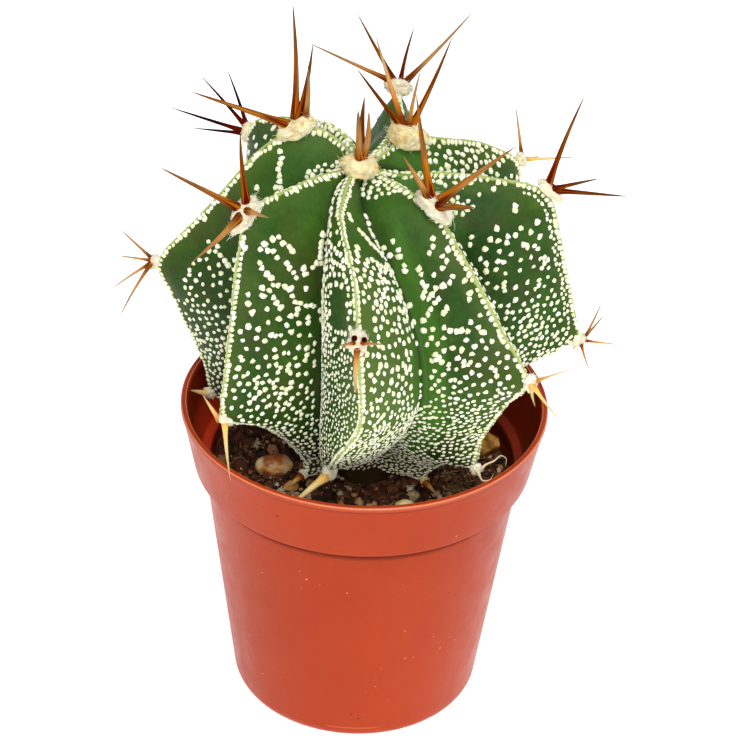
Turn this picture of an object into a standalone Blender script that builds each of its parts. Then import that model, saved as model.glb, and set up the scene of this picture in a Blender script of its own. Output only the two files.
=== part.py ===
"""A potted monk's hood cactus (Astrophytum ornatum) in a small plastic nursery pot.

Metres, +Z up. The origin is the centre of the pot's foot, on the surface it stands on, and -Y is
the front. Every solid is its own object: the pot, the soil, the ribbed body of the plant, a bunch
of spines with its woolly pad for each areole, and the stones in the soil.
"""
import math
import random

import bmesh
import bpy
import numpy as np
from mathutils import Matrix, Vector

MM = 0.001
CLEARANCE = 0.3 * MM

# Pot, a standard 55 mm nursery pot
RIM_RADIUS = 27.5 * MM
POT_HEIGHT = 50.0 * MM
BAND_BOTTOM_RADIUS = 25.5 * MM
BAND_HEIGHT = 10.4 * MM
WALL_TOP_RADIUS = 24.0 * MM
FOOT_RADIUS = 19.0 * MM
WALL_THICKNESS = 1.15 * MM
FLOOR_THICKNESS = 1.3 * MM
FOOT_RING_WIDTH = 3.6 * MM
RECESS_DEPTH = 0.8 * MM
FOOT_PAD_RADIUS = 5.0 * MM
FOOT_SLOPE = 0.5 * MM
FOOT_ROUND = 0.9 * MM
LIP_ROUND = 0.55 * MM
STEP_ROUND = 0.4 * MM
LEDGE_ROUND = 0.3 * MM
FLOOR_ROUND = 1.0 * MM
DRAIN_RADIUS = 1.8 * MM
DRAIN_RING_RADIUS = 10.0 * MM
DRAIN_COUNT = 4
DRAIN_SIDES = 12
DRAIN_CUT_DEPTH = 6.0 * MM
POT_SIDES = 48

# Soil
SOIL_LEVEL = 38.0 * MM
SOIL_RELIEF = 0.5 * MM
SOIL_TILT = 0.05
SOIL_SIDES = 40
SOIL_RINGS = 7
SOIL_EDGE_DROP = 0.9 * MM
SOIL_EDGE_ROUND = 0.4 * MM
HOLE_EDGE_ROUND = 0.6 * MM

# Plant: the root collar stands in a plain hole in the soil
COLLAR_RADIUS = 5.2 * MM
COLLAR_BOTTOM = 29.0 * MM
COLLAR_TOP = 37.4 * MM
HOLE_RADIUS = COLLAR_RADIUS + CLEARANCE
HOLE_FLOOR = COLLAR_BOTTOM - CLEARANCE
FLANK_STEPS = (0.0, 0.13, 0.42, 0.72)
BODY_ROWS = 34
FLANK_BULGE = 0.07
TUFT_HEIGHT = 0.25 * MM
LEAN_START = 45.0 * MM
LEAN_END = 88.0 * MM
LEAN_SHIFT = (-1.0 * MM, 2.0 * MM)
AXIS_FOOT = (0.0, 0.5 * MM)
APEX_HEIGHT = 88.6 * MM
MIDDLE_HEIGHT = 66.0 * MM

# The crest of each rib, from the collar up to the crown. Each point is an azimuth in degrees
# (0 is the front, 90 the right), a radius from the plant's axis and a height, both in mm.
CRESTS = {
    "a": ((-20, 6.2, 39.0), (-18, 7.8, 43.2), (-16, 11.8, 46.4), (-16, 16.3, 47.5),
          (-9, 22.5, 54.0), (-2, 27.3, 61.0), (0, 28.8, 65.0), (0, 29.3, 69.5),
          (-1, 28.3, 77.5), (-2.5, 24.3, 83.8), (-9.5, 17.5, 88.0), (-14, 14.0, 89.0),
          (-16, 10.5, 89.6), (-20, 5.5, 90.0)),
    "b": ((-47, 6.2, 39.0), (-47, 9.0, 40.0), (-47, 11.6, 40.8), (-47, 11.8, 43.2),
          (-47, 15.6, 49.0), (-47, 21.0, 53.8), (-47, 27.2, 57.8), (-47, 26.6, 65.5),
          (-47, 25.4, 74.0), (-47, 24.0, 83.0), (-47, 22.0, 89.3), (-47, 15.5, 90.2),
          (-47, 8.5, 90.2)),
    "c": ((-93, 6.2, 39.3), (-93, 12.0, 41.6), (-93, 17.0, 44.6), (-93, 22.8, 48.9),
          (-93, 24.2, 54.0), (-93, 28.2, 64.4), (-93, 30.5, 70.6), (-93, 25.8, 77.2),
          (-93, 20.5, 83.5), (-93, 15.8, 89.8), (-93, 12.0, 92.8), (-97, 8.4, 94.0),
          (-99, 5.0, 93.0)),
    "d": ((-138, 6.2, 39.3), (-138, 12.8, 42.4), (-138, 18.0, 48.0), (-138, 24.0, 54.0),
          (-138, 28.3, 59.0), (-138, 28.4, 66.0), (-138, 28.0, 74.0), (-138, 26.6, 83.4),
          (-138, 21.5, 87.2), (-138, 13.5, 90.2), (-138, 6.5, 92.0)),
    "e": ((167, 6.2, 39.0), (167, 11.8, 41.4), (167, 16.0, 46.5), (167, 21.5, 52.0),
          (167, 25.8, 58.0), (167, 25.0, 66.0), (167, 24.0, 74.0), (167, 22.4, 83.0),
          (167, 18.8, 90.8), (158, 12.6, 90.6), (150.5, 6.8, 90.2)),
    "f": ((128, 6.2, 39.0), (128, 12.5, 41.6), (128, 17.0, 47.5), (128, 23.0, 53.5),
          (128, 27.3, 59.0), (128, 27.8, 67.0), (128, 28.6, 75.0), (128, 28.4, 80.6),
          (128, 22.3, 85.4), (128, 14.5, 88.7), (127, 7.0, 91.0)),
    "g": ((89, 6.2, 39.0), (89, 13.0, 42.5), (89, 17.5, 50.0), (89, 24.0, 58.6),
          (89, 31.2, 61.4), (89, 30.5, 68.0), (89, 28.2, 78.8), (89, 25.5, 86.0),
          (89, 17.5, 87.8), (89, 10.5, 88.2), (87, 4.8, 87.6)),
    "h": ((47, 6.2, 39.0), (47, 9.6, 40.6), (47, 12.4, 41.4), (47, 14.2, 44.0),
          (47, 18.2, 47.4), (47, 22.3, 48.8), (47, 24.0, 54.5), (47, 28.2, 62.0),
          (47, 32.0, 68.0), (47, 26.6, 74.0), (47, 18.6, 83.0), (47, 12.8, 87.4),
          (46, 7.5, 88.4)),
}

# The bottom of the groove after each rib, going clockwise as seen from above, in the same terms
GROOVES = {
    "a": ((-32, 5.4, 39.0), (-30, 7.6, 42.8), (-29, 12.2, 46.2), (-26, 13.8, 52.0),
          (-25, 13.9, 62.0), (-25, 13.6, 70.0), (-25, 13.4, 77.0), (-25, 12.6, 82.5),
          (-27, 10.5, 86.6), (-34, 6.5, 88.6)),
    "b": ((-70, 5.4, 39.0), (-70, 7.4, 43.0), (-70, 11.5, 47.0), (-70, 15.0, 55.0),
          (-70, 16.3, 63.0), (-70, 15.6, 72.0), (-70, 13.8, 79.0), (-70, 10.5, 84.5),
          (-70, 5.5, 88.4)),
    "c": ((-116, 5.4, 39.0), (-116, 7.4, 43.0), (-116, 11.0, 47.0), (-116, 14.5, 54.0),
          (-116, 15.8, 62.0), (-116, 15.6, 71.0), (-116, 14.0, 79.0), (-116, 10.5, 85.5),
          (-116, 5.5, 89.4)),
    "d": ((-164, 5.4, 39.0), (-164, 7.4, 43.0), (-164, 11.0, 47.0), (-165, 14.0, 54.0),
          (-165, 14.8, 62.0), (-165, 14.4, 71.0), (-168, 13.0, 77.6), (-176, 9.8, 83.2),
          (-174, 5.2, 87.8)),
    "e": ((147, 5.4, 39.0), (147, 7.4, 43.0), (147, 11.0, 47.0), (147, 14.5, 54.0),
          (147, 15.8, 62.0), (147, 15.6, 71.0), (147, 14.0, 79.0), (146, 10.5, 84.5),
          (143, 5.2, 88.2)),
    "f": ((108, 5.4, 39.0), (108, 7.4, 43.0), (108, 11.5, 47.0), (108, 15.8, 55.0),
          (108, 17.2, 63.0), (108, 16.6, 71.0), (108, 14.8, 78.0), (108, 11.0, 83.2),
          (108, 5.5, 86.8)),
    "g": ((67, 5.4, 39.0), (67, 7.4, 43.0), (67, 11.8, 47.5), (67, 16.0, 54.5),
          (67, 17.8, 62.0), (67, 17.4, 70.0), (67, 15.0, 76.5), (67, 10.5, 82.0),
          (67, 5.5, 86.0)),
    "h": ((22, 5.4, 39.0), (20, 6.4, 43.2), (20, 9.0, 46.4), (21, 13.0, 50.0),
          (23, 17.4, 55.5), (24, 20.3, 62.0), (24, 19.6, 69.0), (23, 16.0, 74.5),
          (17, 12.5, 79.8), (5, 9.5, 84.0), (-8, 4.8, 87.2)),
}
RIB_ORDER = "abcdefgh"

# The areoles, named by rib and from the crown down. Each has its azimuth, radius and height as
# above, the half length and half width of its felt pad, and the vector in mm to each spine's tip.
AREOLES = {
    "a1": (-13, 3.6, 90.0, 3.0, 2.2,
           ((0.0, 1.5, 10.5), (-1.0, -0.5, 9.5), (1.0, 1.0, 8.5), (-1.5, 2.5, 7.5))),
    "a2": (-1, 28.5, 77.5, 1.9, 1.4,
           ((0.0, -7.0, -3.5), (-2.5, -4.0, 2.0), (3.5, -4.0, 2.5), (-0.5, -6.5, 5.5),
            (1.5, -6.0, 5.0))),
    "a3": (-16, 16.7, 47.6, 1.5, 1.3, ((-6.0, -6.5, -2.5),)),
    "b1": (-47, 22.4, 89.4, 2.4, 1.7,
           ((-1.0, 2.0, 11.5), (-12.0, 2.5, 5.0), (-6.5, -12.0, -1.0), (3.5, -6.5, 3.0))),
    "b2": (-47, 27.6, 57.8, 1.9, 1.5, ((-2.6, 0.4, 3.8), (2.0, -9.0, -4.5))),
    "b3": (-47, 11.9, 41.2, 1.1, 0.9, ((-2.2, -2.4, -0.8),)),
    "c1": (-94, 9.3, 94.2, 2.9, 2.0,
           ((-1.8, 4.2, 17.2), (1.2, 2.7, 11.7), (0.7, -1.8, 10.7), (-15.8, 1.2, 4.2))),
    "c2": (-93, 30.9, 70.8, 1.8, 1.4,
           ((-5.5, -0.5, 1.0), (-6.0, -5.0, -2.0), (-4.5, -8.5, -4.5), (-5.5, 4.5, 2.5))),
    "c3": (-93, 23.3, 48.7, 1.5, 1.2, ((-2.8, -1.4, 1.3), (0.6, 2.8, -0.6))),
    "d1": (-138, 27.4, 82.2, 2.2, 1.6,
           ((-7.3, 6.4, 5.7), (-3.3, 5.9, 7.2), (-11.8, 4.4, 1.2), (-8.3, 1.9, -0.8))),
    "d2": (-138, 28.8, 58.8, 1.8, 1.4,
           ((-7.0, 2.5, 1.5), (-3.5, 7.5, 0.5), (-5.0, 5.0, -4.5), (-3.5, 4.5, 5.0))),
    "d3": (-138, 13.4, 42.6, 1.2, 1.0, ((-3.0, 2.5, 1.5),)),
    "e1": (167, 19.2, 91.3, 2.3, 1.7,
           ((-13.5, 2.5, 5.5), (-6.5, 9.5, 7.0), (2.0, 7.0, 6.5), (10.5, 7.5, 9.0),
            (0.5, 8.0, -5.0))),
    "e2": (167, 26.3, 58.0, 1.8, 1.4,
           ((-5.5, 6.5, 1.0), (6.5, 6.5, 1.5), (0.5, 8.5, -4.5), (1.5, 6.0, 6.0))),
    "e3": (167, 12.3, 41.2, 1.1, 0.9, ((0.5, 3.0, 1.5),)),
    "f1": (127, 7.1, 91.3, 2.8, 2.1,
           ((-7.5, 1.0, 10.0), (-5.0, 2.5, 14.5), (1.5, 1.0, 10.0), (6.0, 9.0, 11.5))),
    "f2": (128, 28.9, 80.8, 2.1, 1.5,
           ((-1.0, 6.5, 5.5), (8.5, 4.0, -1.5), (3.0, 3.0, -1.0), (0.5, 6.0, -4.2))),
    "f3": (128, 27.8, 58.8, 1.8, 1.4,
           ((7.5, 1.5, 1.0), (3.0, 7.5, 1.5), (5.0, 4.0, -4.5), (3.5, 4.0, 5.5))),
    "f4": (128, 13.0, 41.6, 1.1, 0.9, ((2.2, 2.2, 1.5),)),
    "g1": (89, 26.0, 86.3, 2.3, 1.6,
           ((4.5, 5.0, 12.5), (7.0, -2.5, 3.5), (11.5, 0.5, -1.0), (0.5, 7.0, -4.6))),
    "g2": (89, 31.7, 61.5, 1.8, 1.4,
           ((6.0, 0.0, -0.5), (1.5, -5.0, -2.0), (4.0, 6.5, 0.5), (3.0, 2.0, 5.5))),
    "g3": (89, 13.6, 42.6, 1.2, 1.0, ((3.5, 0.5, 1.0),)),
    "h1": (47, 13.0, 87.9, 2.6, 1.7,
           ((-3.0, 2.5, 16.0), (-4.5, -1.5, 8.5), (11.0, 0.5, 9.5), (5.5, -8.0, 4.5))),
    "h2": (47, 32.4, 68.0, 1.9, 1.4,
           ((8.0, 1.0, 3.0), (5.0, -6.0, -3.5), (0.5, -6.0, 0.0))),
    "h3": (47, 22.8, 48.6, 1.5, 1.2, ((1.0, -3.5, 0.0), (4.5, -0.5, 2.5))),
    "h4": (47, 12.7, 41.4, 1.2, 1.0, ((2.0, -3.0, -0.6),)),
}
SPINE_ROOT_RADIUS = 0.62 * MM
SPINE_LONG = 14.0 * MM
SPINE_THINNEST = 0.7
SPINE_SIDES = 5
SPINE_BEND = 0.05
SPINE_RINGS = ((-0.02, 1.0), (0.45, 0.68))
SPINE_ROOT_DEPTH = 0.3 * MM
SPINE_ROOT_RISE = 0.5 * MM
PAD_RISE = 1.5 * MM
PAD_SEGMENTS = 10
PAD_RINGS = 6
# Where the crests meet, the swollen body folds over itself, which EXACT can't cut with
CROWN_AREOLES = ("a1",)
CROWN_SOLVER = "MANIFOLD"

# Stones: place (x, y) and half sizes in mm, turn in degrees, and a seed for the outline
STONES = {
    "pebble_tan": ((-13.2, -3.2), (2.9, 2.0, 1.8), 12, 3),
    "pebble_brown": ((18.4, -3.8), (1.8, 1.4, 1.3), 60, 5),
    "stone_cream": ((6.6, -10.8), (1.5, 0.9, 0.9), 10, 7),
    "stone_olive": ((18.6, 5.6), (2.3, 1.9, 2.3), -35, 11),
    "stone_grey": ((7.8, -7.6), (1.1, 0.9, 0.9), 75, 13),
    "grit_amber": ((-10.4, -7.8), (1.1, 0.9, 0.8), 30, 17),
}
STONE_SINK = 0.35
STONE_ROUGH = (-0.09, 0.07)
SOCKET_MARGIN = 1.3


def clear_scene():
    for obj in list(bpy.data.objects):
        bpy.data.objects.remove(obj, do_unlink=True)


def material(name, colour, roughness, metallic=0.0):
    """A Principled material, made once for each name."""
    mat = bpy.data.materials.get(name) or bpy.data.materials.new(name)
    mat.use_nodes = True
    shader = mat.node_tree.nodes["Principled BSDF"]
    shader.inputs["Base Color"].default_value = (*colour, 1.0)
    shader.inputs["Roughness"].default_value = roughness
    shader.inputs["Metallic"].default_value = metallic
    return mat


def object_from_bmesh(name, bm, mat, smooth_angle=None):
    """Turn a bmesh into an object of the scene, with its faces pointing out."""
    bmesh.ops.recalc_face_normals(bm, faces=bm.faces)
    mesh = bpy.data.meshes.new(name)
    bm.to_mesh(mesh)
    bm.free()
    mesh.materials.append(mat)
    if smooth_angle is not None:
        mesh.shade_smooth()
        mesh.set_sharp_from_angle(angle=math.radians(smooth_angle))
    obj = bpy.data.objects.new(name, mesh)
    bpy.context.scene.collection.objects.link(obj)
    return obj


def apply_cut(obj, cutter, solver="EXACT"):
    """Cut one object with another, bake the result into its mesh and remove the cutter."""
    modifier = obj.modifiers.new("cut", "BOOLEAN")
    modifier.operation = "DIFFERENCE"
    modifier.solver = solver
    modifier.object = cutter
    bake_modifiers(obj)
    bpy.data.objects.remove(cutter, do_unlink=True)


def as_cutter(obj):
    """Mark an object as one that only cuts, and isn't part of the model."""
    obj.hide_render = True
    obj.display_type = "WIRE"
    return obj


def bake_modifiers(obj):
    """Replace an object's mesh by what its modifiers make of it."""
    graph = bpy.context.evaluated_depsgraph_get()
    baked = bpy.data.meshes.new_from_object(obj.evaluated_get(graph))
    obj.modifiers.clear()
    obj.data = baked


def turned(profile, sides):
    """A closed solid turned about Z from (radius, height) points; radius 0 makes a pole."""
    bm = bmesh.new()
    rings = []
    for radius, height in profile:
        if radius == 0.0:
            rings.append([bm.verts.new((0.0, 0.0, height))])
            continue
        ring = []
        for k in range(sides):
            turn = 2.0 * math.pi * k / sides
            ring.append(bm.verts.new((radius * math.cos(turn), radius * math.sin(turn), height)))
        rings.append(ring)
    for low, high in zip(rings, rings[1:]):
        join_rings(bm, low, high)
    return bm


def join_rings(bm, low, high):
    """Faces between two rings of vertices, either of which may be a single pole."""
    count = max(len(low), len(high))
    for k in range(count):
        following = (k + 1) % count
        corners = [low[k % len(low)], low[following % len(low)],
                   high[following % len(high)], high[k % len(high)]]
        corners = list(dict.fromkeys(corners))
        bm.faces.new(corners)


def pot_inner_radius(height):
    """Radius of the pot's inner wall below the ledge."""
    share = height / (POT_HEIGHT - BAND_HEIGHT)
    return FOOT_RADIUS + (WALL_TOP_RADIUS - FOOT_RADIUS) * share - WALL_THICKNESS


def make_pot():
    step = POT_HEIGHT - BAND_HEIGHT
    ledge = step + 0.6 * WALL_THICKNESS
    floor_top = RECESS_DEPTH + FLOOR_THICKNESS
    ring_inside = FOOT_RADIUS - FOOT_RING_WIDTH
    outside = [
        (0.0, 0.0), (FOOT_PAD_RADIUS, 0.0), (FOOT_PAD_RADIUS + FOOT_SLOPE, RECESS_DEPTH),
        (ring_inside - FOOT_SLOPE, RECESS_DEPTH), (ring_inside, 0.0),
        (FOOT_RADIUS - FOOT_ROUND, 0.0), (FOOT_RADIUS - 0.3 * FOOT_ROUND, 0.3 * FOOT_ROUND),
        (FOOT_RADIUS + 0.1 * FOOT_ROUND, FOOT_ROUND),
        (WALL_TOP_RADIUS, step - STEP_ROUND), (WALL_TOP_RADIUS + STEP_ROUND, step),
        (BAND_BOTTOM_RADIUS - STEP_ROUND, step), (BAND_BOTTOM_RADIUS, step + STEP_ROUND),
        (RIM_RADIUS - 0.3 * LIP_ROUND, POT_HEIGHT - 2.0 * LIP_ROUND),
        (RIM_RADIUS, POT_HEIGHT - LIP_ROUND),
        (RIM_RADIUS - 0.3 * LIP_ROUND, POT_HEIGHT - 0.2 * LIP_ROUND),
        (RIM_RADIUS - LIP_ROUND, POT_HEIGHT),
    ]
    inside = [
        (RIM_RADIUS - WALL_THICKNESS, POT_HEIGHT - 0.5 * LIP_ROUND),
        (BAND_BOTTOM_RADIUS - WALL_THICKNESS, ledge),
        (pot_inner_radius(ledge), ledge - LEDGE_ROUND),
        (pot_inner_radius(floor_top + FLOOR_ROUND), floor_top + FLOOR_ROUND),
        (pot_inner_radius(floor_top) - FLOOR_ROUND, floor_top), (0.0, floor_top),
    ]
    plastic = material("terracotta_plastic", (0.56, 0.13, 0.05), 0.42)
    turned_pot = turned(outside + inside, POT_SIDES)
    pot = object_from_bmesh("pot", turned_pot, plastic, smooth_angle=35)
    apply_cut(pot, drain_cutter())
    return pot


def drain_cutter():
    """Four upright rods through the floor, as one cutter."""
    bm = bmesh.new()
    for k in range(DRAIN_COUNT):
        turn = 2.0 * math.pi * (k + 0.5) / DRAIN_COUNT
        place = Matrix.Translation((DRAIN_RING_RADIUS * math.cos(turn),
                                    DRAIN_RING_RADIUS * math.sin(turn), FLOOR_THICKNESS))
        bmesh.ops.create_cone(bm, cap_ends=True, segments=DRAIN_SIDES, radius1=DRAIN_RADIUS,
                              radius2=DRAIN_RADIUS, depth=DRAIN_CUT_DEPTH, matrix=place)
    return as_cutter(object_from_bmesh("drain_cutter", bm, material("cutter", (1, 1, 1), 0.5)))


def axis_at(height):
    """The plant's axis leans a little above the rim: its place (x, y) at a height."""
    share = min(max((height - LEAN_START) / (LEAN_END - LEAN_START), 0.0), 1.1)
    return Vector((AXIS_FOOT[0] + LEAN_SHIFT[0] * share, AXIS_FOOT[1] + LEAN_SHIFT[1] * share))


def plant_point(azimuth, radius_mm, height_mm):
    """A place on the plant from its azimuth in degrees, radius and height in mm."""
    turn = math.radians(azimuth)
    centre = axis_at(height_mm * MM)
    return Vector((centre.x + radius_mm * MM * math.sin(turn),
                   centre.y - radius_mm * MM * math.cos(turn), height_mm * MM))


def smooth_path(points, rows):
    """Points at equal steps along a Catmull-Rom curve through the given ones."""
    ends = [points[0] * 2.0 - points[1]] + list(points) + [points[-1] * 2.0 - points[-2]]
    dense = []
    for k in range(1, len(ends) - 2):
        before, start, end, after = ends[k - 1:k + 3]
        for step in range(12):
            t = step / 12.0
            dense.append(0.5 * ((2.0 * start) + (end - before) * t
                                + (2.0 * before - 5.0 * start + 4.0 * end - after) * t ** 2
                                + (3.0 * start - before - 3.0 * end + after) * t ** 3))
    dense.append(points[-1])
    lengths = np.cumsum([0.0] + [(b - a).length for a, b in zip(dense, dense[1:])])
    wanted = np.linspace(0.0, lengths[-1], rows)
    columns = [np.interp(wanted, lengths, [p[i] for p in dense]) for i in range(3)]
    return [Vector(p) for p in zip(*columns)]


def plant_lines():
    """Crest and groove curves all round the plant, in order, from the collar to the crown."""
    apex = Vector((*axis_at(APEX_HEIGHT), APEX_HEIGHT))
    lines = []
    for rib in RIB_ORDER:
        crest = [plant_point(*p) for p in CRESTS[rib]] + [apex]
        groove = [plant_point(*p) for p in GROOVES[rib]] + [apex]
        lines.append((smooth_path(crest, BODY_ROWS), smooth_path(groove, BODY_ROWS)))
    return lines


def flank(crest, groove, share):
    """A point on a rib's flank, a share of the way from the crest down to the groove."""
    straight = crest.lerp(groove, share)
    outward = Vector((straight.x, straight.y, 0.0)).normalized()
    swell = FLANK_BULGE * (crest - groove).length * math.sin(math.pi * share)
    return straight + outward * swell


def body_grid():
    """Rows of points round the plant, from the collar to just below the crown's middle."""
    lines = plant_lines()
    grid = []
    for row in range(BODY_ROWS - 1):
        ring = []
        for k, (crest, groove) in enumerate(lines):
            next_crest = lines[(k + 1) % len(lines)][0]
            for share in FLANK_STEPS:
                ring.append(flank(crest[row], groove[row], share))
            ring.append(groove[row])
            for share in reversed(FLANK_STEPS[1:]):
                ring.append(flank(next_crest[row], groove[row], share))
        grid.append(ring)
    return grid


def collar_ring(count, height):
    """A round ring of the root collar, with as many points as a row of the body."""
    centre = axis_at(height)
    start = math.radians(CRESTS[RIB_ORDER[0]][0][0])
    ring = []
    for k in range(count):
        turn = start - 2.0 * math.pi * k / count
        ring.append(Vector((centre.x + COLLAR_RADIUS * math.sin(turn),
                            centre.y - COLLAR_RADIUS * math.cos(turn), height)))
    return ring


def body_bmesh(swell=0.0, tufts=False):
    """The ribbed body; swell moves its surface out, and tufts raises its felt flecks."""
    grid = body_grid()
    count = len(grid[0])
    rings = [collar_ring(count, COLLAR_BOTTOM), collar_ring(count, COLLAR_TOP)] + grid
    bm = bmesh.new()
    columns = [[bm.verts.new(p) for p in ring] for ring in rings]
    foot = bm.verts.new((*axis_at(COLLAR_BOTTOM), COLLAR_BOTTOM))
    crown = bm.verts.new((*axis_at(APEX_HEIGHT), APEX_HEIGHT))
    join_rings(bm, [foot], columns[0])
    for low, high in zip(columns, columns[1:]):
        join_rings(bm, low, high)
    join_rings(bm, columns[-1], [crown])
    bmesh.ops.recalc_face_normals(bm, faces=bm.faces)
    bm.normal_update()
    steps = 2 * len(FLANK_STEPS)
    moves = {}
    for row, ring in enumerate(columns):
        for k, vert in enumerate(ring):
            rise = swell
            raised = (row + k) % 2 == 0 and k % steps not in (0, len(FLANK_STEPS))
            if tufts and raised and 2 < row < len(columns) - 4:
                rise += TUFT_HEIGHT
            moves[vert] = vert.normal * rise
    moves[foot] = foot.normal * swell
    moves[crown] = crown.normal * swell
    for vert, move in moves.items():
        vert.co += move
    return bm


def make_body():
    green = material("cactus_skin", (0.05, 0.16, 0.045), 0.5)
    return object_from_bmesh("cactus_body", body_bmesh(tufts=True), green, smooth_angle=60)


def spine_bmesh(root, vector, root_radius):
    """One round-tapered spine of few sides, bent a little, with its root sunk in the pad."""
    bm = bmesh.new()
    length = vector.length
    along = vector.normalized()
    side = along.cross(Vector((0.3, 0.5, 1.0))).normalized()
    other = along.cross(side)
    rings = []
    for share, width in SPINE_RINGS:
        centre = root + vector * share + side * (SPINE_BEND * length * math.sin(math.pi * share))
        ring = []
        for k in range(SPINE_SIDES):
            turn = 2.0 * math.pi * k / SPINE_SIDES
            offset = side * math.cos(turn) + other * math.sin(turn)
            ring.append(bm.verts.new(centre + offset * root_radius * width))
        rings.append(ring)
    start = bm.verts.new(root - along * SPINE_ROOT_DEPTH)
    tip = bm.verts.new(root + vector)
    join_rings(bm, [start], rings[0])
    join_rings(bm, rings[0], rings[1])
    join_rings(bm, rings[1], [tip])
    return bm


def make_areole(label):
    """A felt pad seated on its rib's crest, with its spines grown into it as one body."""
    azimuth, radius_mm, height_mm, half_length, half_width, spines = AREOLES[label]
    place = plant_point(azimuth, radius_mm, height_mm)
    outward, along = crest_frame(label[0], place)
    felt = material("spine_and_felt", (0.55, 0.27, 0.09), 0.6)
    frame = Matrix((along.cross(outward), along, outward)).transposed().to_4x4()
    scale = Matrix.Diagonal((half_width * MM, half_length * MM, PAD_RISE, 1.0))
    pad = bmesh.new()
    bmesh.ops.create_uvsphere(pad, u_segments=PAD_SEGMENTS, v_segments=PAD_RINGS, radius=1.0)
    pad.transform(Matrix.Translation(place) @ frame @ scale)
    obj = object_from_bmesh("spines_" + label, pad, felt)
    pieces = []
    for vector in spines:
        rise = outward * SPINE_ROOT_RISE
        tip = Vector(vector) * MM
        size = min(tip.length / SPINE_LONG, 1.0)
        thickness = SPINE_ROOT_RADIUS * (SPINE_THINNEST + (1.0 - SPINE_THINNEST) * size)
        spine = spine_bmesh(place + rise, tip - rise, thickness)
        pieces.append(object_from_bmesh("spine", spine, felt))
    grow_together(obj, pieces)
    apply_cut(obj, swollen_body(), CROWN_SOLVER if label in CROWN_AREOLES else "EXACT")
    return obj


def grow_together(obj, pieces):
    """Join pieces into one closed body with an object, and remove them."""
    group = bpy.data.collections.new(obj.name)
    for piece in pieces:
        group.objects.link(piece)
    modifier = obj.modifiers.new("join", "BOOLEAN")
    modifier.operation = "UNION"
    modifier.operand_type = "COLLECTION"
    modifier.collection = group
    bake_modifiers(obj)
    for piece in pieces:
        bpy.data.objects.remove(piece, do_unlink=True)
    bpy.data.collections.remove(group)


def crest_frame(rib, place):
    """Outward direction and direction along the crest, at the crest point nearest a place."""
    crest = smooth_path([plant_point(*p) for p in CRESTS[rib]], BODY_ROWS)
    nearest = min(range(1, len(crest) - 1), key=lambda k: (crest[k] - place).length)
    along = (crest[nearest + 1] - crest[nearest - 1]).normalized()
    centre = Vector((*axis_at(place.z), place.z))
    radial = place - centre
    side = Vector((-radial.y, radial.x, 0.0)).normalized()
    outward = along.cross(side).normalized()
    if outward.dot(place - Vector((0.0, 0.0, MIDDLE_HEIGHT))) < 0.0:
        outward = -outward
    return outward, along


def swollen_body():
    """The plant with its surface moved out by the clearance, to cut pads that sit on it."""
    body = body_bmesh(swell=CLEARANCE + TUFT_HEIGHT)
    return as_cutter(object_from_bmesh("body_cutter", body, material("cutter", (1, 1, 1), 0.5)))


def soil_relief(x, y):
    """Height of the lumps in the soil, smooth and the same each run."""
    u, v = x / MM, y / MM
    waves = math.sin(0.9 * u + 1.3) * math.cos(0.75 * v - 0.4) + 0.6 * math.sin(1.7 * u - 1.1 * v)
    return SOIL_RELIEF * waves / 1.6


def soil_level(x):
    """The soil is heaped a little higher towards the left of the pot."""
    return SOIL_LEVEL - SOIL_TILT * x


def make_soil():
    """The potting mix: it fills the pot up to its level, round the plant's plain hole."""
    bm = bmesh.new()
    floor = RECESS_DEPTH + FLOOR_THICKNESS + CLEARANCE
    centre = axis_at(SOIL_LEVEL)

    def ring(radius, height, relief=0.0, shift=0.0, tilted=False):
        points = []
        for k in range(SOIL_SIDES):
            turn = 2.0 * math.pi * k / SOIL_SIDES
            x = centre.x * shift + radius * math.cos(turn)
            y = centre.y * shift + radius * math.sin(turn)
            level = height + relief * soil_relief(x, y)
            if tilted:
                level += soil_level(x) - SOIL_LEVEL
            points.append(bm.verts.new((x, y, level)))
        return points

    wall_top = pot_inner_radius(SOIL_LEVEL - SOIL_TILT * RIM_RADIUS) - CLEARANCE
    foot_edge = floor + 1.2 * FLOOR_ROUND
    rings = [[bm.verts.new((0.0, 0.0, floor))],
             ring(pot_inner_radius(floor) - FLOOR_ROUND - CLEARANCE, floor),
             ring(pot_inner_radius(foot_edge) - CLEARANCE, foot_edge),
             ring(wall_top, SOIL_LEVEL - SOIL_EDGE_DROP, tilted=True)]
    outer = wall_top - SOIL_EDGE_ROUND
    inner = HOLE_RADIUS + HOLE_EDGE_ROUND
    surface = SOIL_LEVEL - SOIL_EDGE_ROUND
    for k in range(SOIL_RINGS):
        share = k / (SOIL_RINGS - 1)
        calm = math.sin(math.pi * share) ** 0.5
        radius = outer + (inner - outer) * share
        rings.append(ring(radius, surface, relief=calm, shift=share, tilted=True))
    rings.append(ring(HOLE_RADIUS, SOIL_LEVEL - SOIL_EDGE_DROP, shift=1.0))
    rings.append(ring(HOLE_RADIUS, HOLE_FLOOR, shift=1.0))
    rings.append([bm.verts.new((centre.x, centre.y, HOLE_FLOOR))])
    for low, high in zip(rings, rings[1:]):
        join_rings(bm, low, high)
    dark = material("potting_mix", (0.035, 0.022, 0.016), 0.95)
    soil = object_from_bmesh("soil", bm, dark, smooth_angle=40)
    for name in STONES:
        apply_cut(soil, as_cutter(stone_object(name + "_socket", name, swell=CLEARANCE)))
    return soil


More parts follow.
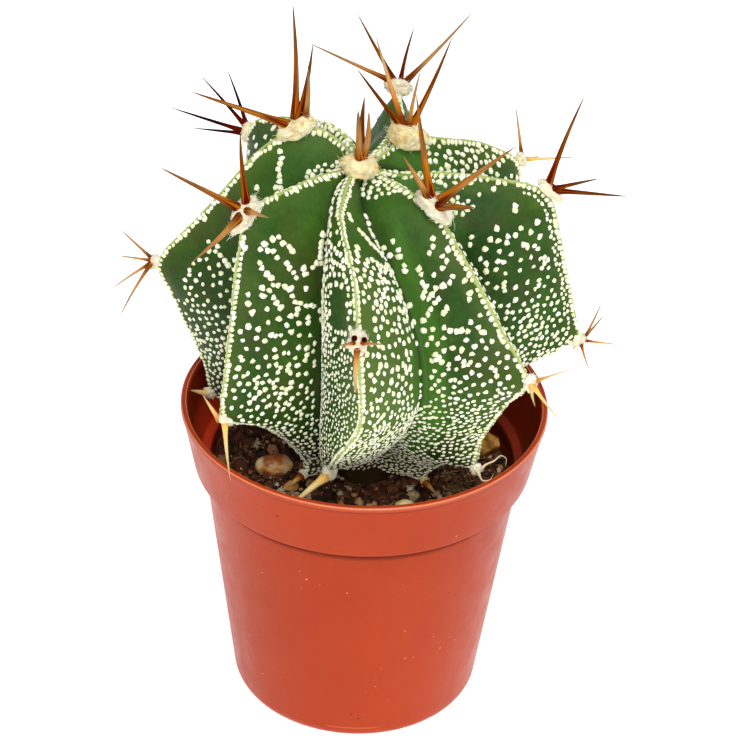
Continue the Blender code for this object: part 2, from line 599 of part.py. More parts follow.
def stone_object(object_name, name, swell=0.0):
    """A stone of flat facets, or its socket when swollen by the clearance."""
    (x, y), half, turn, seed = STONES[name]
    draw = random.Random(seed)
    bm = bmesh.new()
    bmesh.ops.create_icosphere(bm, subdivisions=2, radius=1.0)
    for vert in bm.verts:
        vert.co *= 1.0 + draw.uniform(*STONE_ROUGH)
    size = Matrix.Diagonal((*(h * MM + swell * SOCKET_MARGIN for h in half), 1.0))
    lift = soil_level(x * MM) + half[2] * MM * STONE_SINK
    place = Matrix.Translation((x * MM, y * MM, lift))
    bm.transform(place @ Matrix.Rotation(math.radians(turn), 4, "Z") @ size)
    stone = material("stone", (0.45, 0.26, 0.13), 0.7)
    return object_from_bmesh(object_name, bm, stone)


def main():
    clear_scene()
    make_pot()
    make_body()
    for label in AREOLES:
        make_areole(label)
    for name in STONES:
        stone_object(name, name)
    make_soil()


main()
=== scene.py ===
"""The looks of a potted monk's hood cactus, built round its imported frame.

Metres, +Z up, in the frame of the model: the origin is the centre of the pot's foot and -Y is the
front. The sizes and tables of the plant are those of its solids, at a finer step.
"""
import math

import bmesh
import bpy
import numpy as np
from mathutils import Matrix, Vector, noise

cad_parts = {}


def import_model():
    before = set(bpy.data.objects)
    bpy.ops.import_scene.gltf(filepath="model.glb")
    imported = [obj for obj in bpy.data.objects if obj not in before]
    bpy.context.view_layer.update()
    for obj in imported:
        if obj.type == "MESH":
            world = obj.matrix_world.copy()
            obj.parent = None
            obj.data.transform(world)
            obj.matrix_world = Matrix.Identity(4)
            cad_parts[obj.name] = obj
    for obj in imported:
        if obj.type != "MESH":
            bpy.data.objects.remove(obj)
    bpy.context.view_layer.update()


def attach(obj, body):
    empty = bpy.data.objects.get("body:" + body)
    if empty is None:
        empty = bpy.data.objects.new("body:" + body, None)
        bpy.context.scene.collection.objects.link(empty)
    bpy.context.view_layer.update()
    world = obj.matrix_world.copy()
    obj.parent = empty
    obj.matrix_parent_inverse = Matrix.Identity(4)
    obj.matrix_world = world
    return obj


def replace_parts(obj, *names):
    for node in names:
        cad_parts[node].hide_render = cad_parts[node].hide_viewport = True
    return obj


MM = 0.001

# Pot
RIM_RADIUS = 27.5 * MM
POT_HEIGHT = 50.0 * MM
BAND_BOTTOM_RADIUS = 25.5 * MM
BAND_HEIGHT = 10.4 * MM
WALL_TOP_RADIUS = 24.0 * MM
FOOT_RADIUS = 19.0 * MM
WALL_THICKNESS = 1.15 * MM
FLOOR_THICKNESS = 1.3 * MM
FOOT_RING_WIDTH = 3.6 * MM
RECESS_DEPTH = 0.8 * MM
FOOT_PAD_RADIUS = 5.0 * MM
DRAIN_RADIUS = 1.8 * MM
DRAIN_RING_RADIUS = 10.0 * MM
POT_SIDES = 192
LIP = 0.55 * MM
CORNER_RADIUS = 0.35 * MM
CORNER_STEPS = 5
PROFILE_STEP = 1.6 * MM
FLOOR_JOIN = DRAIN_RING_RADIUS + 2.4 * MM
SHARP_ANGLE = math.radians(30.0)

# Soil
SOIL_LEVEL = 38.0 * MM
SOIL_TILT = 0.05
SOIL_SINK = 0.4 * MM
SOIL_RELIEF = 0.5 * MM
CLEARANCE = 0.3 * MM

# Plant
COLLAR_RADIUS = 5.2 * MM
COLLAR_BOTTOM = 29.0 * MM
COLLAR_TOP = 37.4 * MM
FLANK_BULGE = 0.07
LEAN_START = 45.0 * MM
LEAN_END = 88.0 * MM
LEAN_SHIFT = (-1.0 * MM, 2.0 * MM)
AXIS_FOOT = (0.0, 0.5 * MM)
APEX_HEIGHT = 88.6 * MM
MIDDLE_HEIGHT = 66.0 * MM
BODY_ROWS = 200
CURVE_STEPS = 12
CREST_ROUND = 0.5 * MM
# The skin is pinched beside its crests, plump beside its grooves (in widths of the flank), and
# lumpy (in waves per metre)
PINCH_DEPTH = 0.22 * MM
PINCH_PLACE = 1.5 * MM
PINCH_WIDTH = 0.8 * MM
PLUMP = 0.045
SKIN_LUMPS = 0.14 * MM
SKIN_LUMP_WAVES = 160.0
# Ribs whose crest is blunter near the crown: by how much, and from how far up the rib
BLUNT = {"e": (1.7 * MM, 0.62)}
# The share of the rib over which its crest grows blunt
BLUNT_GROWTH = 0.12
# Where the columns of a flank lie, as shares of the way from its crest to its groove
COLUMN_SHARES = (0.0, 0.012, 0.03, 0.055, 0.09, 0.13, 0.19, 0.27, 0.36, 0.46, 0.56, 0.66, 0.76,
                 0.85, 0.93, 1.0)
HALF = len(COLUMN_SHARES) - 1

# The crest of each rib, from the collar up to the crown: its usual azimuth in degrees (0 is the
# front, 90 the right), then points. Each has a radius from the plant's axis and a height, both in
# mm, and its own azimuth before them where it isn't the usual one.
CRESTS = {
    "a": (-20, (6.2, 39.0), (-18, 7.8, 43.2), (-16, 11.8, 46.4), (-16, 16.3, 47.5),
          (-9, 22.5, 54.0), (-2, 27.3, 61.0), (0, 28.8, 65.0), (0, 29.3, 69.5), (-1, 28.3, 77.5),
          (-2.5, 24.3, 83.8), (-9.5, 17.5, 88.0), (-14, 14.0, 89.0), (-16, 10.5, 89.6),
          (5.5, 90.0)),
    "b": (-47, (6.2, 39.0), (9.0, 40.0), (11.6, 40.8), (11.8, 43.2), (15.6, 49.0), (21.0, 53.8),
          (27.2, 57.8), (26.6, 65.5), (25.4, 74.0), (24.0, 83.0), (22.0, 89.3), (15.5, 90.2),
          (8.5, 90.2)),
    "c": (-93, (6.2, 39.3), (12.0, 41.6), (17.0, 44.6), (22.8, 48.9), (24.2, 54.0), (28.2, 64.4),
          (30.5, 70.6), (25.8, 77.2), (20.5, 83.5), (15.8, 89.8), (12.0, 92.8), (-97, 8.4, 94.0),
          (-99, 5.0, 93.0)),
    "d": (-138, (6.2, 39.3), (12.8, 42.4), (18.0, 48.0), (24.0, 54.0), (28.3, 59.0),
          (28.4, 66.0), (28.0, 74.0), (26.6, 83.4), (21.5, 87.2), (13.5, 90.2), (6.5, 92.0)),
    "e": (167, (6.2, 39.0), (11.8, 41.4), (16.0, 46.5), (21.5, 52.0), (25.8, 58.0), (25.0, 66.0),
          (24.0, 74.0), (22.4, 83.0), (18.8, 90.8), (158, 12.6, 90.6), (150.5, 6.8, 90.2)),
    "f": (128, (6.2, 39.0), (12.5, 41.6), (17.0, 47.5), (23.0, 53.5), (27.3, 59.0), (27.8, 67.0),
          (28.6, 75.0), (28.4, 80.6), (22.3, 85.4), (14.5, 88.7), (127, 7.0, 91.0)),
    "g": (89, (6.2, 39.0), (13.0, 42.5), (17.5, 50.0), (24.0, 58.6), (31.2, 61.4), (30.5, 68.0),
          (28.2, 78.8), (25.5, 86.0), (17.5, 87.8), (10.5, 88.2), (87, 4.8, 87.6)),
    "h": (47, (6.2, 39.0), (9.6, 40.6), (12.4, 41.4), (14.2, 44.0), (18.2, 47.4), (22.3, 48.8),
          (24.0, 54.5), (28.2, 62.0), (32.0, 68.0), (26.6, 74.0), (18.6, 83.0), (12.8, 87.4),
          (46, 7.5, 88.4)),
}

# The bottom of the groove after each rib, going clockwise as seen from above, in the same terms
GROOVES = {
    "a": (-25, (-32, 5.4, 39.0), (-30, 7.6, 42.8), (-29, 12.2, 46.2), (-26, 13.8, 52.0),
          (13.9, 62.0), (13.6, 70.0), (13.4, 77.0), (12.6, 82.5), (-27, 10.5, 86.6),
          (-34, 6.5, 88.6)),
    "b": (-70, (5.4, 39.0), (7.4, 43.0), (11.5, 47.0), (15.0, 55.0), (16.3, 63.0), (15.6, 72.0),
          (13.8, 79.0), (10.5, 84.5), (5.5, 88.4)),
    "c": (-116, (5.4, 39.0), (7.4, 43.0), (11.0, 47.0), (14.5, 54.0), (15.8, 62.0), (15.6, 71.0),
          (14.0, 79.0), (10.5, 85.5), (5.5, 89.4)),
    "d": (-164, (5.4, 39.0), (7.4, 43.0), (11.0, 47.0), (-165, 14.0, 54.0), (-165, 14.8, 62.0),
          (-165, 14.4, 71.0), (-168, 13.0, 77.6), (-176, 9.8, 83.2), (-174, 5.2, 87.8)),
    "e": (147, (5.4, 39.0), (7.4, 43.0), (11.0, 47.0), (14.5, 54.0), (15.8, 62.0), (15.6, 71.0),
          (14.0, 79.0), (146, 10.5, 84.5), (143, 5.2, 88.2)),
    "f": (108, (5.4, 39.0), (7.4, 43.0), (11.5, 47.0), (15.8, 55.0), (17.2, 63.0), (16.6, 71.0),
          (14.8, 78.0), (11.0, 83.2), (5.5, 86.8)),
    "g": (67, (5.4, 39.0), (7.4, 43.0), (11.8, 47.5), (16.0, 54.5), (17.8, 62.0), (17.4, 70.0),
          (15.0, 76.5), (10.5, 82.0), (5.5, 86.0)),
    "h": (20, (22, 5.4, 39.0), (6.4, 43.2), (9.0, 46.4), (21, 13.0, 50.0), (23, 17.4, 55.5),
          (24, 20.3, 62.0), (24, 19.6, 69.0), (23, 16.0, 74.5), (17, 12.5, 79.8), (5, 9.5, 84.0),
          (-8, 4.8, 87.2)),
}
RIB_ORDER = "abcdefgh"

# The areoles, named by rib and from the crown down. Each has its azimuth, radius and height as
# above, the half length and half width of its felt pad, and the vector in mm to each spine's tip.
AREOLES = {
    "a1": (-13, 3.6, 90.0, 3.0, 2.2,
           ((0.0, 1.5, 10.5), (-1.0, -0.5, 9.5), (1.0, 1.0, 8.5), (-1.5, 2.5, 7.5))),
    "a2": (-1, 28.5, 77.5, 1.9, 1.4,
           ((0.0, -7.0, -3.5), (-2.5, -4.0, 2.0), (3.5, -4.0, 2.5), (-0.5, -6.5, 5.5),
            (1.5, -6.0, 5.0))),
    "a3": (-16, 16.7, 47.6, 1.5, 1.3, ((-6.0, -6.5, -2.5),)),
    "b1": (-47, 22.4, 89.4, 2.4, 1.7,
           ((-1.0, 2.0, 11.5), (-12.0, 2.5, 5.0), (-6.5, -12.0, -1.0), (3.5, -6.5, 3.0))),
    "b2": (-47, 27.6, 57.8, 1.9, 1.5, ((-2.6, 0.4, 3.8), (2.0, -9.0, -4.5))),
    "b3": (-47, 11.9, 41.2, 1.1, 0.9, ((-2.2, -2.4, -0.8),)),
    "c1": (-94, 9.3, 94.2, 2.9, 2.0,
           ((-1.8, 4.2, 17.2), (1.2, 2.7, 11.7), (0.7, -1.8, 10.7), (-15.8, 1.2, 4.2))),
    "c2": (-93, 30.9, 70.8, 1.8, 1.4,
           ((-5.5, -0.5, 1.0), (-6.0, -5.0, -2.0), (-4.5, -8.5, -4.5), (-5.5, 4.5, 2.5))),
    "c3": (-93, 23.3, 48.7, 1.5, 1.2, ((-2.8, -1.4, 1.3), (0.6, 2.8, -0.6))),
    "d1": (-138, 27.4, 82.2, 2.2, 1.6,
           ((-7.3, 6.4, 5.7), (-3.3, 5.9, 7.2), (-11.8, 4.4, 1.2), (-8.3, 1.9, -0.8))),
    "d2": (-138, 28.8, 58.8, 1.8, 1.4,
           ((-7.0, 2.5, 1.5), (-3.5, 7.5, 0.5), (-5.0, 5.0, -4.5), (-3.5, 4.5, 5.0))),
    "d3": (-138, 13.4, 42.6, 1.2, 1.0, ((-3.0, 2.5, 1.5),)),
    "e1": (167, 19.2, 91.3, 2.3, 1.7,
           ((-13.5, 2.5, 5.5), (-6.5, 9.5, 7.0), (2.0, 7.0, 6.5), (10.5, 7.5, 9.0),
            (0.5, 8.0, -5.0))),
    "e2": (167, 26.3, 58.0, 1.8, 1.4,
           ((-5.5, 6.5, 1.0), (6.5, 6.5, 1.5), (0.5, 8.5, -4.5), (1.5, 6.0, 6.0))),
    "e3": (167, 12.3, 41.2, 1.1, 0.9, ((0.5, 3.0, 1.5),)),
    "f1": (127, 7.1, 91.3, 2.8, 2.1,
           ((-7.5, 1.0, 10.0), (-5.0, 2.5, 14.5), (1.5, 1.0, 10.0), (6.0, 9.0, 11.5))),
    "f2": (128, 28.9, 80.8, 2.1, 1.5,
           ((-1.0, 6.5, 5.5), (8.5, 4.0, -1.5), (3.0, 3.0, -1.0), (0.5, 6.0, -4.2))),
    "f3": (128, 27.8, 58.8, 1.8, 1.4,
           ((7.5, 1.5, 1.0), (3.0, 7.5, 1.5), (5.0, 4.0, -4.5), (3.5, 4.0, 5.5))),
    "f4": (128, 13.0, 41.6, 1.1, 0.9, ((2.2, 2.2, 1.5),)),
    "g1": (89, 26.0, 86.3, 2.3, 1.6,
           ((4.5, 5.0, 12.5), (7.0, -2.5, 3.5), (11.5, 0.5, -1.0), (0.5, 7.0, -4.6))),
    "g2": (89, 31.7, 61.5, 1.8, 1.4,
           ((6.0, 0.0, -0.5), (1.5, -5.0, -2.0), (4.0, 6.5, 0.5), (3.0, 2.0, 5.5))),
    "g3": (89, 13.6, 42.6, 1.2, 1.0, ((3.5, 0.5, 1.0),)),
    "h1": (47, 13.0, 87.9, 2.6, 1.7,
           ((-3.0, 2.5, 16.0), (-4.5, -1.5, 8.5), (11.0, 0.5, 9.5), (5.5, -8.0, 4.5))),
    "h2": (47, 32.4, 68.0, 1.9, 1.4,
           ((8.0, 1.0, 3.0), (5.0, -6.0, -3.5), (0.5, -6.0, 0.0))),
    "h3": (47, 22.8, 48.6, 1.5, 1.2, ((1.0, -3.5, 0.0), (4.5, -0.5, 2.5))),
    "h4": (47, 12.7, 41.4, 1.2, 1.0, ((2.0, -3.0, -0.6),)),
}

# Stones: place (x, y) and half sizes in mm, turn in degrees, and a seed for the outline
STONES = {
    "pebble_tan": ((-13.2, -3.2), (2.9, 2.0, 1.8), 12, 3),
    "pebble_brown": ((18.4, -3.8), (1.8, 1.4, 1.3), 60, 5),
    "stone_cream": ((6.6, -10.8), (1.5, 0.9, 0.9), 10, 7),
    "stone_olive": ((18.6, 5.6), (2.3, 1.9, 2.3), -35, 11),
    "stone_grey": ((7.8, -7.6), (1.1, 0.9, 0.9), 75, 13),
    "grit_amber": ((-10.4, -7.8), (1.1, 0.9, 0.8), 30, 17),
}
# How rough each stone's outline is, a slot name that only has it hang from the root, and its dark,
# middle and light colours
STONE_LOOKS = {
    "pebble_tan": (0.12, "warm_stone", (222, 150, 74), (254, 214, 138), (255, 244, 196)),
    "pebble_brown": (0.16, "warm_stone", (66, 40, 26), (110, 74, 50), (150, 112, 82)),
    "stone_cream": (0.12, "pale_stone", (230, 196, 120), (254, 236, 172), (255, 250, 216)),
    "stone_olive": (0.3, "warm_stone", (70, 44, 10), (170, 112, 28), (236, 178, 74)),
    "stone_grey": (0.26, "pale_stone", (92, 70, 44), (146, 122, 82), (188, 168, 124)),
    "grit_amber": (0.2, "warm_stone", (150, 84, 26), (236, 168, 78), (252, 220, 152)),
}
# How far the middle of a stone stands above the soil, in half heights
USUAL_LIFT = 0.35
LIFTS = {"stone_cream": 0.9, "grit_amber": 0.7, "stone_olive": 0.6}

# Heaps on the soil: the place (x, y) and the spread in mm, and how many bits or fibres
GRIT_HEAPS = ((-12.1, -8.0, 0.8, 9), (-9.8, -9.0, 1.0, 12), (7.4, -5.4, 0.7, 9),
              (11.7, -6.6, 0.6, 9), (-16.0, 3.0, 0.4, 3), (-2.5, -4.6, 2.4, 12),
              (3.4, -2.2, 1.6, 7), (-13.5, 3.5, 1.6, 5), (-5.0, -7.0, 2.2, 9))
FIBRE_HEAPS = ((14.4, -3.4, 1.3, 90), (-14.5, -7.5, 1.2, 12), (-15.5, 3.5, 1.6, 8))
# How many crumbs, clods, bits of grit and fibres lie all over the soil, outside the plant's foot
FINE_CRUMBS = 1900
CLODS = 170
THIN_GRIT = 110
THIN_FIBRES = 150
PLANT_FOOT = 5.6 * MM
# The steps of the soil's surface
SOIL_SIDES = 220
SOIL_RINGS = 70


# Materials

def linear(colour):
    """A linear colour from the usual 0 to 255 values."""
    return tuple(((v / 255.0 + 0.055) / 1.055) ** 2.4 if v > 10 else v / 3294.6
                 for v in colour) + (1.0,)


class Look:
    """A material with one Principled shader, and the colour that is laid on it so far."""

    def __init__(self, name, roughness, **constants):
        """Constants are set on the shader's own sockets."""
        self.material = bpy.data.materials.new(name)
        self.material.use_nodes = True
        self.tree = self.material.node_tree
        self.shader = self.tree.nodes["Principled BSDF"]
        self.shader.inputs["Roughness"].default_value = roughness
        for key, value in constants.items():
            self.shader.inputs[key.replace("_", " ")].default_value = value
        self.colour = None

    def node(self, kind, inputs, **settings):
        """Add a node; an input may be a value or another node's output."""
        made = self.tree.nodes.new(kind)
        for key, value in settings.items():
            setattr(made, key, value)
        for key, value in inputs.items():
            if isinstance(value, bpy.types.NodeSocket):
                self.tree.links.new(value, made.inputs[key])
            else:
                made.inputs[key].default_value = value
        return made

    def place(self):
        return self.node("ShaderNodeTexCoord", {}).outputs["Object"]

    def axes(self):
        """The place along X, Y and Z."""
        return self.node("ShaderNodeSeparateXYZ", {0: self.place()}).outputs

    def stretched(self, x, y, z):
        return self.node("ShaderNodeVectorMath", {0: self.place(), 1: (x, y, z)},
                         operation="MULTIPLY").outputs[0]

    def attribute(self, name):
        return self.node("ShaderNodeAttribute", {}, attribute_name=name).outputs["Fac"]

    def noise(self, scale, detail, rough=0.5, vector=None):
        made = self.node("ShaderNodeTexNoise", {"Vector": vector or self.place(), "Scale": scale,
                                                "Detail": detail, "Roughness": rough})
        return made.outputs["Fac"]

    def cells(self, scale):
        made = self.node("ShaderNodeTexVoronoi", {"Vector": self.place(), "Scale": scale})
        return made.outputs["Distance"]

    def remap(self, value, low, high, to_low=0.0, to_high=1.0):
        made = self.node("ShaderNodeMapRange", {"Value": value, "From Min": low, "From Max": high,
                                                "To Min": to_low, "To Max": to_high})
        return made.outputs["Result"]

    def math(self, kind, first, second):
        return self.node("ShaderNodeMath", {0: first, 1: second}, operation=kind).outputs[0]

    def times(self, first, second):
        return self.math("MULTIPLY", first, second)

    def plus(self, first, second):
        return self.math("ADD", first, second)

    def gap(self, value, middle):
        """How far a value lies from a middle, either way."""
        return self.math("ABSOLUTE", self.math("SUBTRACT", value, middle), 0.0)

    def mix(self, factor, first, second):
        return self.node("ShaderNodeMix", {0: factor, 6: first, 7: second},
                         data_type="RGBA").outputs[2]

    def ramp(self, value, *stops):
        """A colour ramp through (place, colour) stops."""
        made = self.node("ShaderNodeValToRGB", {0: value})
        points = made.color_ramp.elements
        while len(points) < len(stops):
            points.new(0.5)
        for point, (where, colour) in zip(points, stops):
            point.position = where
            point.color = linear(colour)
        return made.outputs["Color"]

    def paint(self, mask, colour, strength=None):
        """Lay a colour over the colour so far, by a mask that a strength may weaken."""
        if strength is not None:
            mask = self.times(mask, strength)
        self.colour = self.mix(mask, self.colour, linear(colour))

    def link(self, name, value):
        self.tree.links.new(value, self.shader.inputs[name])

    def bump(self, height, depth, strength=1.0):
        """Relief of a depth in metres, over whatever relief there is."""
        made = self.node("ShaderNodeBump", {"Height": height, "Distance": depth,
                                            "Strength": strength})
        normal = self.shader.inputs["Normal"]
        if normal.is_linked:
            self.tree.links.new(normal.links[0].from_socket, made.inputs["Normal"])
        self.link("Normal", made.outputs["Normal"])

    def finished(self):
        """The material, once the shader has its colour."""
        self.link("Base Color", self.colour)
        return self.material


# Mesh helpers

def mesh_object(name, verts, faces, mat, slot=None, attributes=None, smooth=True):
    """A piece from arrays of vertices and of faces that all have the same number of corners."""
    verts = np.asarray(verts, np.float32).reshape(-1, 3)
    faces = np.asarray(faces, np.int32)
    corners = faces.shape[1]
    mesh = bpy.data.meshes.new(name)
    mesh.vertices.add(len(verts))
    mesh.vertices.foreach_set("co", verts.ravel())
    mesh.loops.add(faces.size)
    mesh.loops.foreach_set("vertex_index", faces.ravel())
    mesh.polygons.add(len(faces))
    mesh.polygons.foreach_set("loop_start", np.arange(len(faces), dtype=np.int32) * corners)
    mesh.update(calc_edges=True)
    mesh.validate()
    for key, values in (attributes or {}).items():
        layer = mesh.attributes.new(key, "FLOAT", "POINT")
        layer.data.foreach_set("value", np.asarray(values, np.float32).ravel())
    mesh.materials.append(mat)
    if smooth:
        mesh.shade_smooth()
    obj = bpy.data.objects.new(name, mesh)
    bpy.context.scene.collection.objects.link(obj)
    if slot:
        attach(obj, "root")
    return obj


def turns(count):
    """Angles at equal steps round a full turn."""
    return 2.0 * math.pi * np.arange(count) / count


def distances(line):
    """How far each point of a line is from its start, along the line."""
    steps = np.linalg.norm(np.diff(line, axis=0), axis=1)
    return np.concatenate([[0.0], np.cumsum(steps)])


def at_shares(line, shares):
    """Points at shares of the way along a line of equal steps."""
    steps = np.linspace(0.0, 1.0, len(line))
    return np.stack([np.interp(shares, steps, line[:, i]) for i in range(3)], axis=1)


def round_axis(radius, turn, height):
    """Points at radii and turns round the Z axis, at heights."""
    x, y = radius * np.cos(turn), radius * np.sin(turn)
    return np.stack([x, y, np.broadcast_to(height, x.shape)], axis=-1)


def ring_faces(rows, columns):
    """Triangles between rows of vertices that run round."""
    row, column = np.meshgrid(np.arange(rows - 1), np.arange(columns), indexing="ij")
    a = row * columns + column
    b = row * columns + (column + 1) % columns
    quads = np.stack([a, b, b + columns, a + columns], axis=-1).reshape(-1, 4)
    return np.vstack([quads[:, [0, 1, 2]], quads[:, [0, 2, 3]]])


def repeated(faces, count, size):
    """The faces of many like shapes, each of which has so many vertices."""
    return (faces[None] + (np.arange(count) * size)[:, None, None]).reshape(-1, 3)


def unit(vectors):
    length = np.linalg.norm(vectors, axis=-1, keepdims=True)
    return vectors / np.maximum(length, 1e-12)


def wave(points, scale, seed=0.0, octaves=2):
    """Smooth noise between about -1 and 1 at points in metres; scale is in waves per metre."""
    flat = np.asarray(points).reshape(-1, 3) * scale + seed
    values = [noise.fractal(Vector(p), 1.0, 2.0, octaves) for p in flat]
    return np.array(values).reshape(np.asarray(points).shape[:-1])


# The plant's surface

def axis_at(height):
    """The plant's axis leans a little above the rim: its place (x, y) at a height."""
    share = min(max((height - LEAN_START) / (LEAN_END - LEAN_START), 0.0), 1.1)
    return Vector((AXIS_FOOT[0] + LEAN_SHIFT[0] * share, AXIS_FOOT[1] + LEAN_SHIFT[1] * share))


def plant_point(azimuth, radius_mm, height_mm):
    """A place on the plant from its azimuth in degrees, radius and height in mm."""
    turn = math.radians(azimuth)
    centre = axis_at(height_mm * MM)
    return Vector((centre.x + radius_mm * MM * math.sin(turn),
                   centre.y - radius_mm * MM * math.cos(turn), height_mm * MM))


def rib_points(line):
    """The places along a crest or a groove."""
    usual, *points = line
    return [plant_point(*(point if len(point) == 3 else (usual, *point))) for point in points]


def smooth_path(points, count):
    """Points at equal steps along a Catmull-Rom curve through the given ones."""
    given = np.array([tuple(p) for p in points])
    ends = np.vstack([2.0 * given[0] - given[1], given, 2.0 * given[-1] - given[-2]])
    t = (np.arange(CURVE_STEPS) / CURVE_STEPS)[:, None]
    dense = []
    for before, start, end, after in zip(ends, ends[1:], ends[2:], ends[3:]):
        dense.append(0.5 * (2.0 * start + (end - before) * t
                            + (2.0 * before - 5.0 * start + 4.0 * end - after) * t ** 2
                            + (3.0 * start - before - 3.0 * end + after) * t ** 3))
    dense = np.vstack(dense + [given[-1:]])
    lengths = distances(dense)
    wanted = np.linspace(0.0, lengths[-1], count)
    return np.stack([np.interp(wanted, lengths, dense[:, i]) for i in range(3)], axis=1)


def crest_rounding(rib):
    """How round the crest of a rib is, row by row."""
    extra, start = BLUNT.get(rib, (0.0, 0.0))
    up = np.clip((np.linspace(0.0, 1.0, BODY_ROWS)[:-1] - start) / BLUNT_GROWTH, 0.0, 1.0)
    return CREST_ROUND + extra * up[:, None]


def flank_rows(crest, groove, other_groove, rounding):
    """Points on one flank, rows by columns from its crest to its groove, and its widths."""
    span = groove - crest
    width = np.linalg.norm(span, axis=1, keepdims=True)
    down = span / width
    inward = unit(down + unit(other_groove - crest))
    depth = np.sum(down * inward, axis=1, keepdims=True)
    lateral = down - depth * inward
    shares = np.array(COLUMN_SHARES)[None, :]
    distance = width * shares
    rounding = np.minimum(rounding, 0.2 * width)
    sunk = np.sqrt(distance ** 2 + rounding ** 2) - rounding
    sunk *= width / (np.sqrt(width ** 2 + rounding ** 2) - rounding)
    points = (crest[:, None, :] + inward[:, None, :] * (depth * sunk)[:, :, None]
              + lateral[:, None, :] * distance[:, :, None])
    outward = unit(points * np.array([1.0, 1.0, 0.0]))
    swell = FLANK_BULGE * width * np.sin(np.pi * shares)
    return points + outward * swell[:, :, None], distance, width


def plant_surface():
    """The whole skin as arrays of rows by columns: points, normals, and what the looks need."""
    apex = (*axis_at(APEX_HEIGHT), APEX_HEIGHT)
    crests, grooves = [], []
    for rib in RIB_ORDER:
        crests.append(smooth_path(rib_points(CRESTS[rib]) + [apex], BODY_ROWS)[:-1])
        grooves.append(smooth_path(rib_points(GROOVES[rib]) + [apex], BODY_ROWS)[:-1])
    columns, from_crest, from_groove = [], [], []
    for k in range(len(RIB_ORDER)):
        crest, groove, before = crests[k], grooves[k], grooves[k - 1]
        following = (k + 1) % len(RIB_ORDER)
        rounding = [crest_rounding(RIB_ORDER[rib]) for rib in (k, following)]
        here, gap, width = flank_rows(crest, groove, before, rounding[0])
        there, next_gap, next_width = flank_rows(crests[following], groove, grooves[following],
                                                 rounding[1])
        columns += [here, there[:, HALF - 1:0:-1]]
        from_crest += [gap, next_gap[:, HALF - 1:0:-1]]
        from_groove += [width - gap, (next_width - next_gap)[:, HALF - 1:0:-1]]
    points = np.concatenate(columns, axis=1)
    from_crest = np.concatenate(from_crest, axis=1)
    from_groove = np.concatenate(from_groove, axis=1)
    points, normals = relief_of_skin(points, from_crest, from_groove)
    return {"points": points, "normals": normals, "crest": from_crest, "groove": from_groove}


def grid_normals(points):
    """Normals of the whole skin, which point away from its middle."""
    along = np.gradient(points, axis=0)
    round_it = np.roll(points, -1, axis=1) - np.roll(points, 1, axis=1)
    normals = unit(np.cross(along, round_it))
    inward = np.sum(normals * (points - np.array([0.0, 0.0, MIDDLE_HEIGHT]))) < 0.0
    return -normals if inward else normals


def relief_of_skin(points, from_crest, from_groove):
    """Pinch the skin beside each crest, plump the flanks beside the grooves, and roughen it."""
    normals = grid_normals(points)
    width = from_crest + from_groove
    share = from_crest / width
    pinch = -PINCH_DEPTH * np.exp(-((from_crest - PINCH_PLACE) / PINCH_WIDTH) ** 2)
    hump = 27.0 / 4.0 * share ** 2 * (1.0 - share)
    plump = PLUMP * width * hump
    lumps = SKIN_LUMPS * wave(points, SKIN_LUMP_WAVES, 3.0)
    edge = np.clip(from_groove / (2.0 * MM), 0.0, 1.0)
    edge = edge * np.clip(width / (8.0 * MM), 0.0, 1.0)
    points = points + normals * ((pinch + plump + lumps) * edge)[:, :, None]
    return points, grid_normals(points)


def make_body(surface, mat):
    """The skin with its root collar, closed at the collar's foot and at the crown."""
    grid = surface["points"]
    count = grid.shape[1]
    turn = math.radians(CRESTS["a"][0]) - turns(count)
    rings = []
    for height, radius in ((COLLAR_BOTTOM, 1.0), (COLLAR_TOP - 2.0 * MM, 1.0), (COLLAR_TOP, 1.02)):
        centre = axis_at(height)
        rings.append(np.stack([centre.x + radius * COLLAR_RADIUS * np.sin(turn),
                               centre.y - radius * COLLAR_RADIUS * np.cos(turn),
                               np.full(count, height)], axis=1))
    rows = np.concatenate([np.array(rings), grid])
    foot = (*axis_at(COLLAR_BOTTOM), COLLAR_BOTTOM)
    crown = (*axis_at(APEX_HEIGHT), APEX_HEIGHT)
    verts = np.vstack([rows.reshape(-1, 3), [foot, crown]])
    faces = ring_faces(len(rows), count)
    last = (len(rows) - 1) * count
    fans = []
    for k in range(count):
        after = (k + 1) % count
        fans.append((len(verts) - 2, after, k))
        fans.append((last + k, last + after, len(verts) - 1))
    faces = np.vstack([faces, fans])
    extra = len(rings)
    crest = np.vstack([np.full((extra, count), 9.0 * MM), surface["crest"]]).ravel() / MM
    groove = np.vstack([np.full((extra, count), 9.0 * MM), surface["groove"]]).ravel() / MM
    rib_share = np.repeat(np.concatenate([np.zeros(extra), np.linspace(0, 1, len(grid))]), count)
    attributes = {"from_crest": np.append(crest, (9.0, 0.0)),
                  "from_groove": np.append(groove, (9.0, 0.0)),
                  "up_the_rib": np.append(rib_share, (0.0, 1.0))}
    body = mesh_object("body_skin", verts, faces[:, ::-1], mat, "cactus_skin", attributes)
    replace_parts(body, "cactus_body")


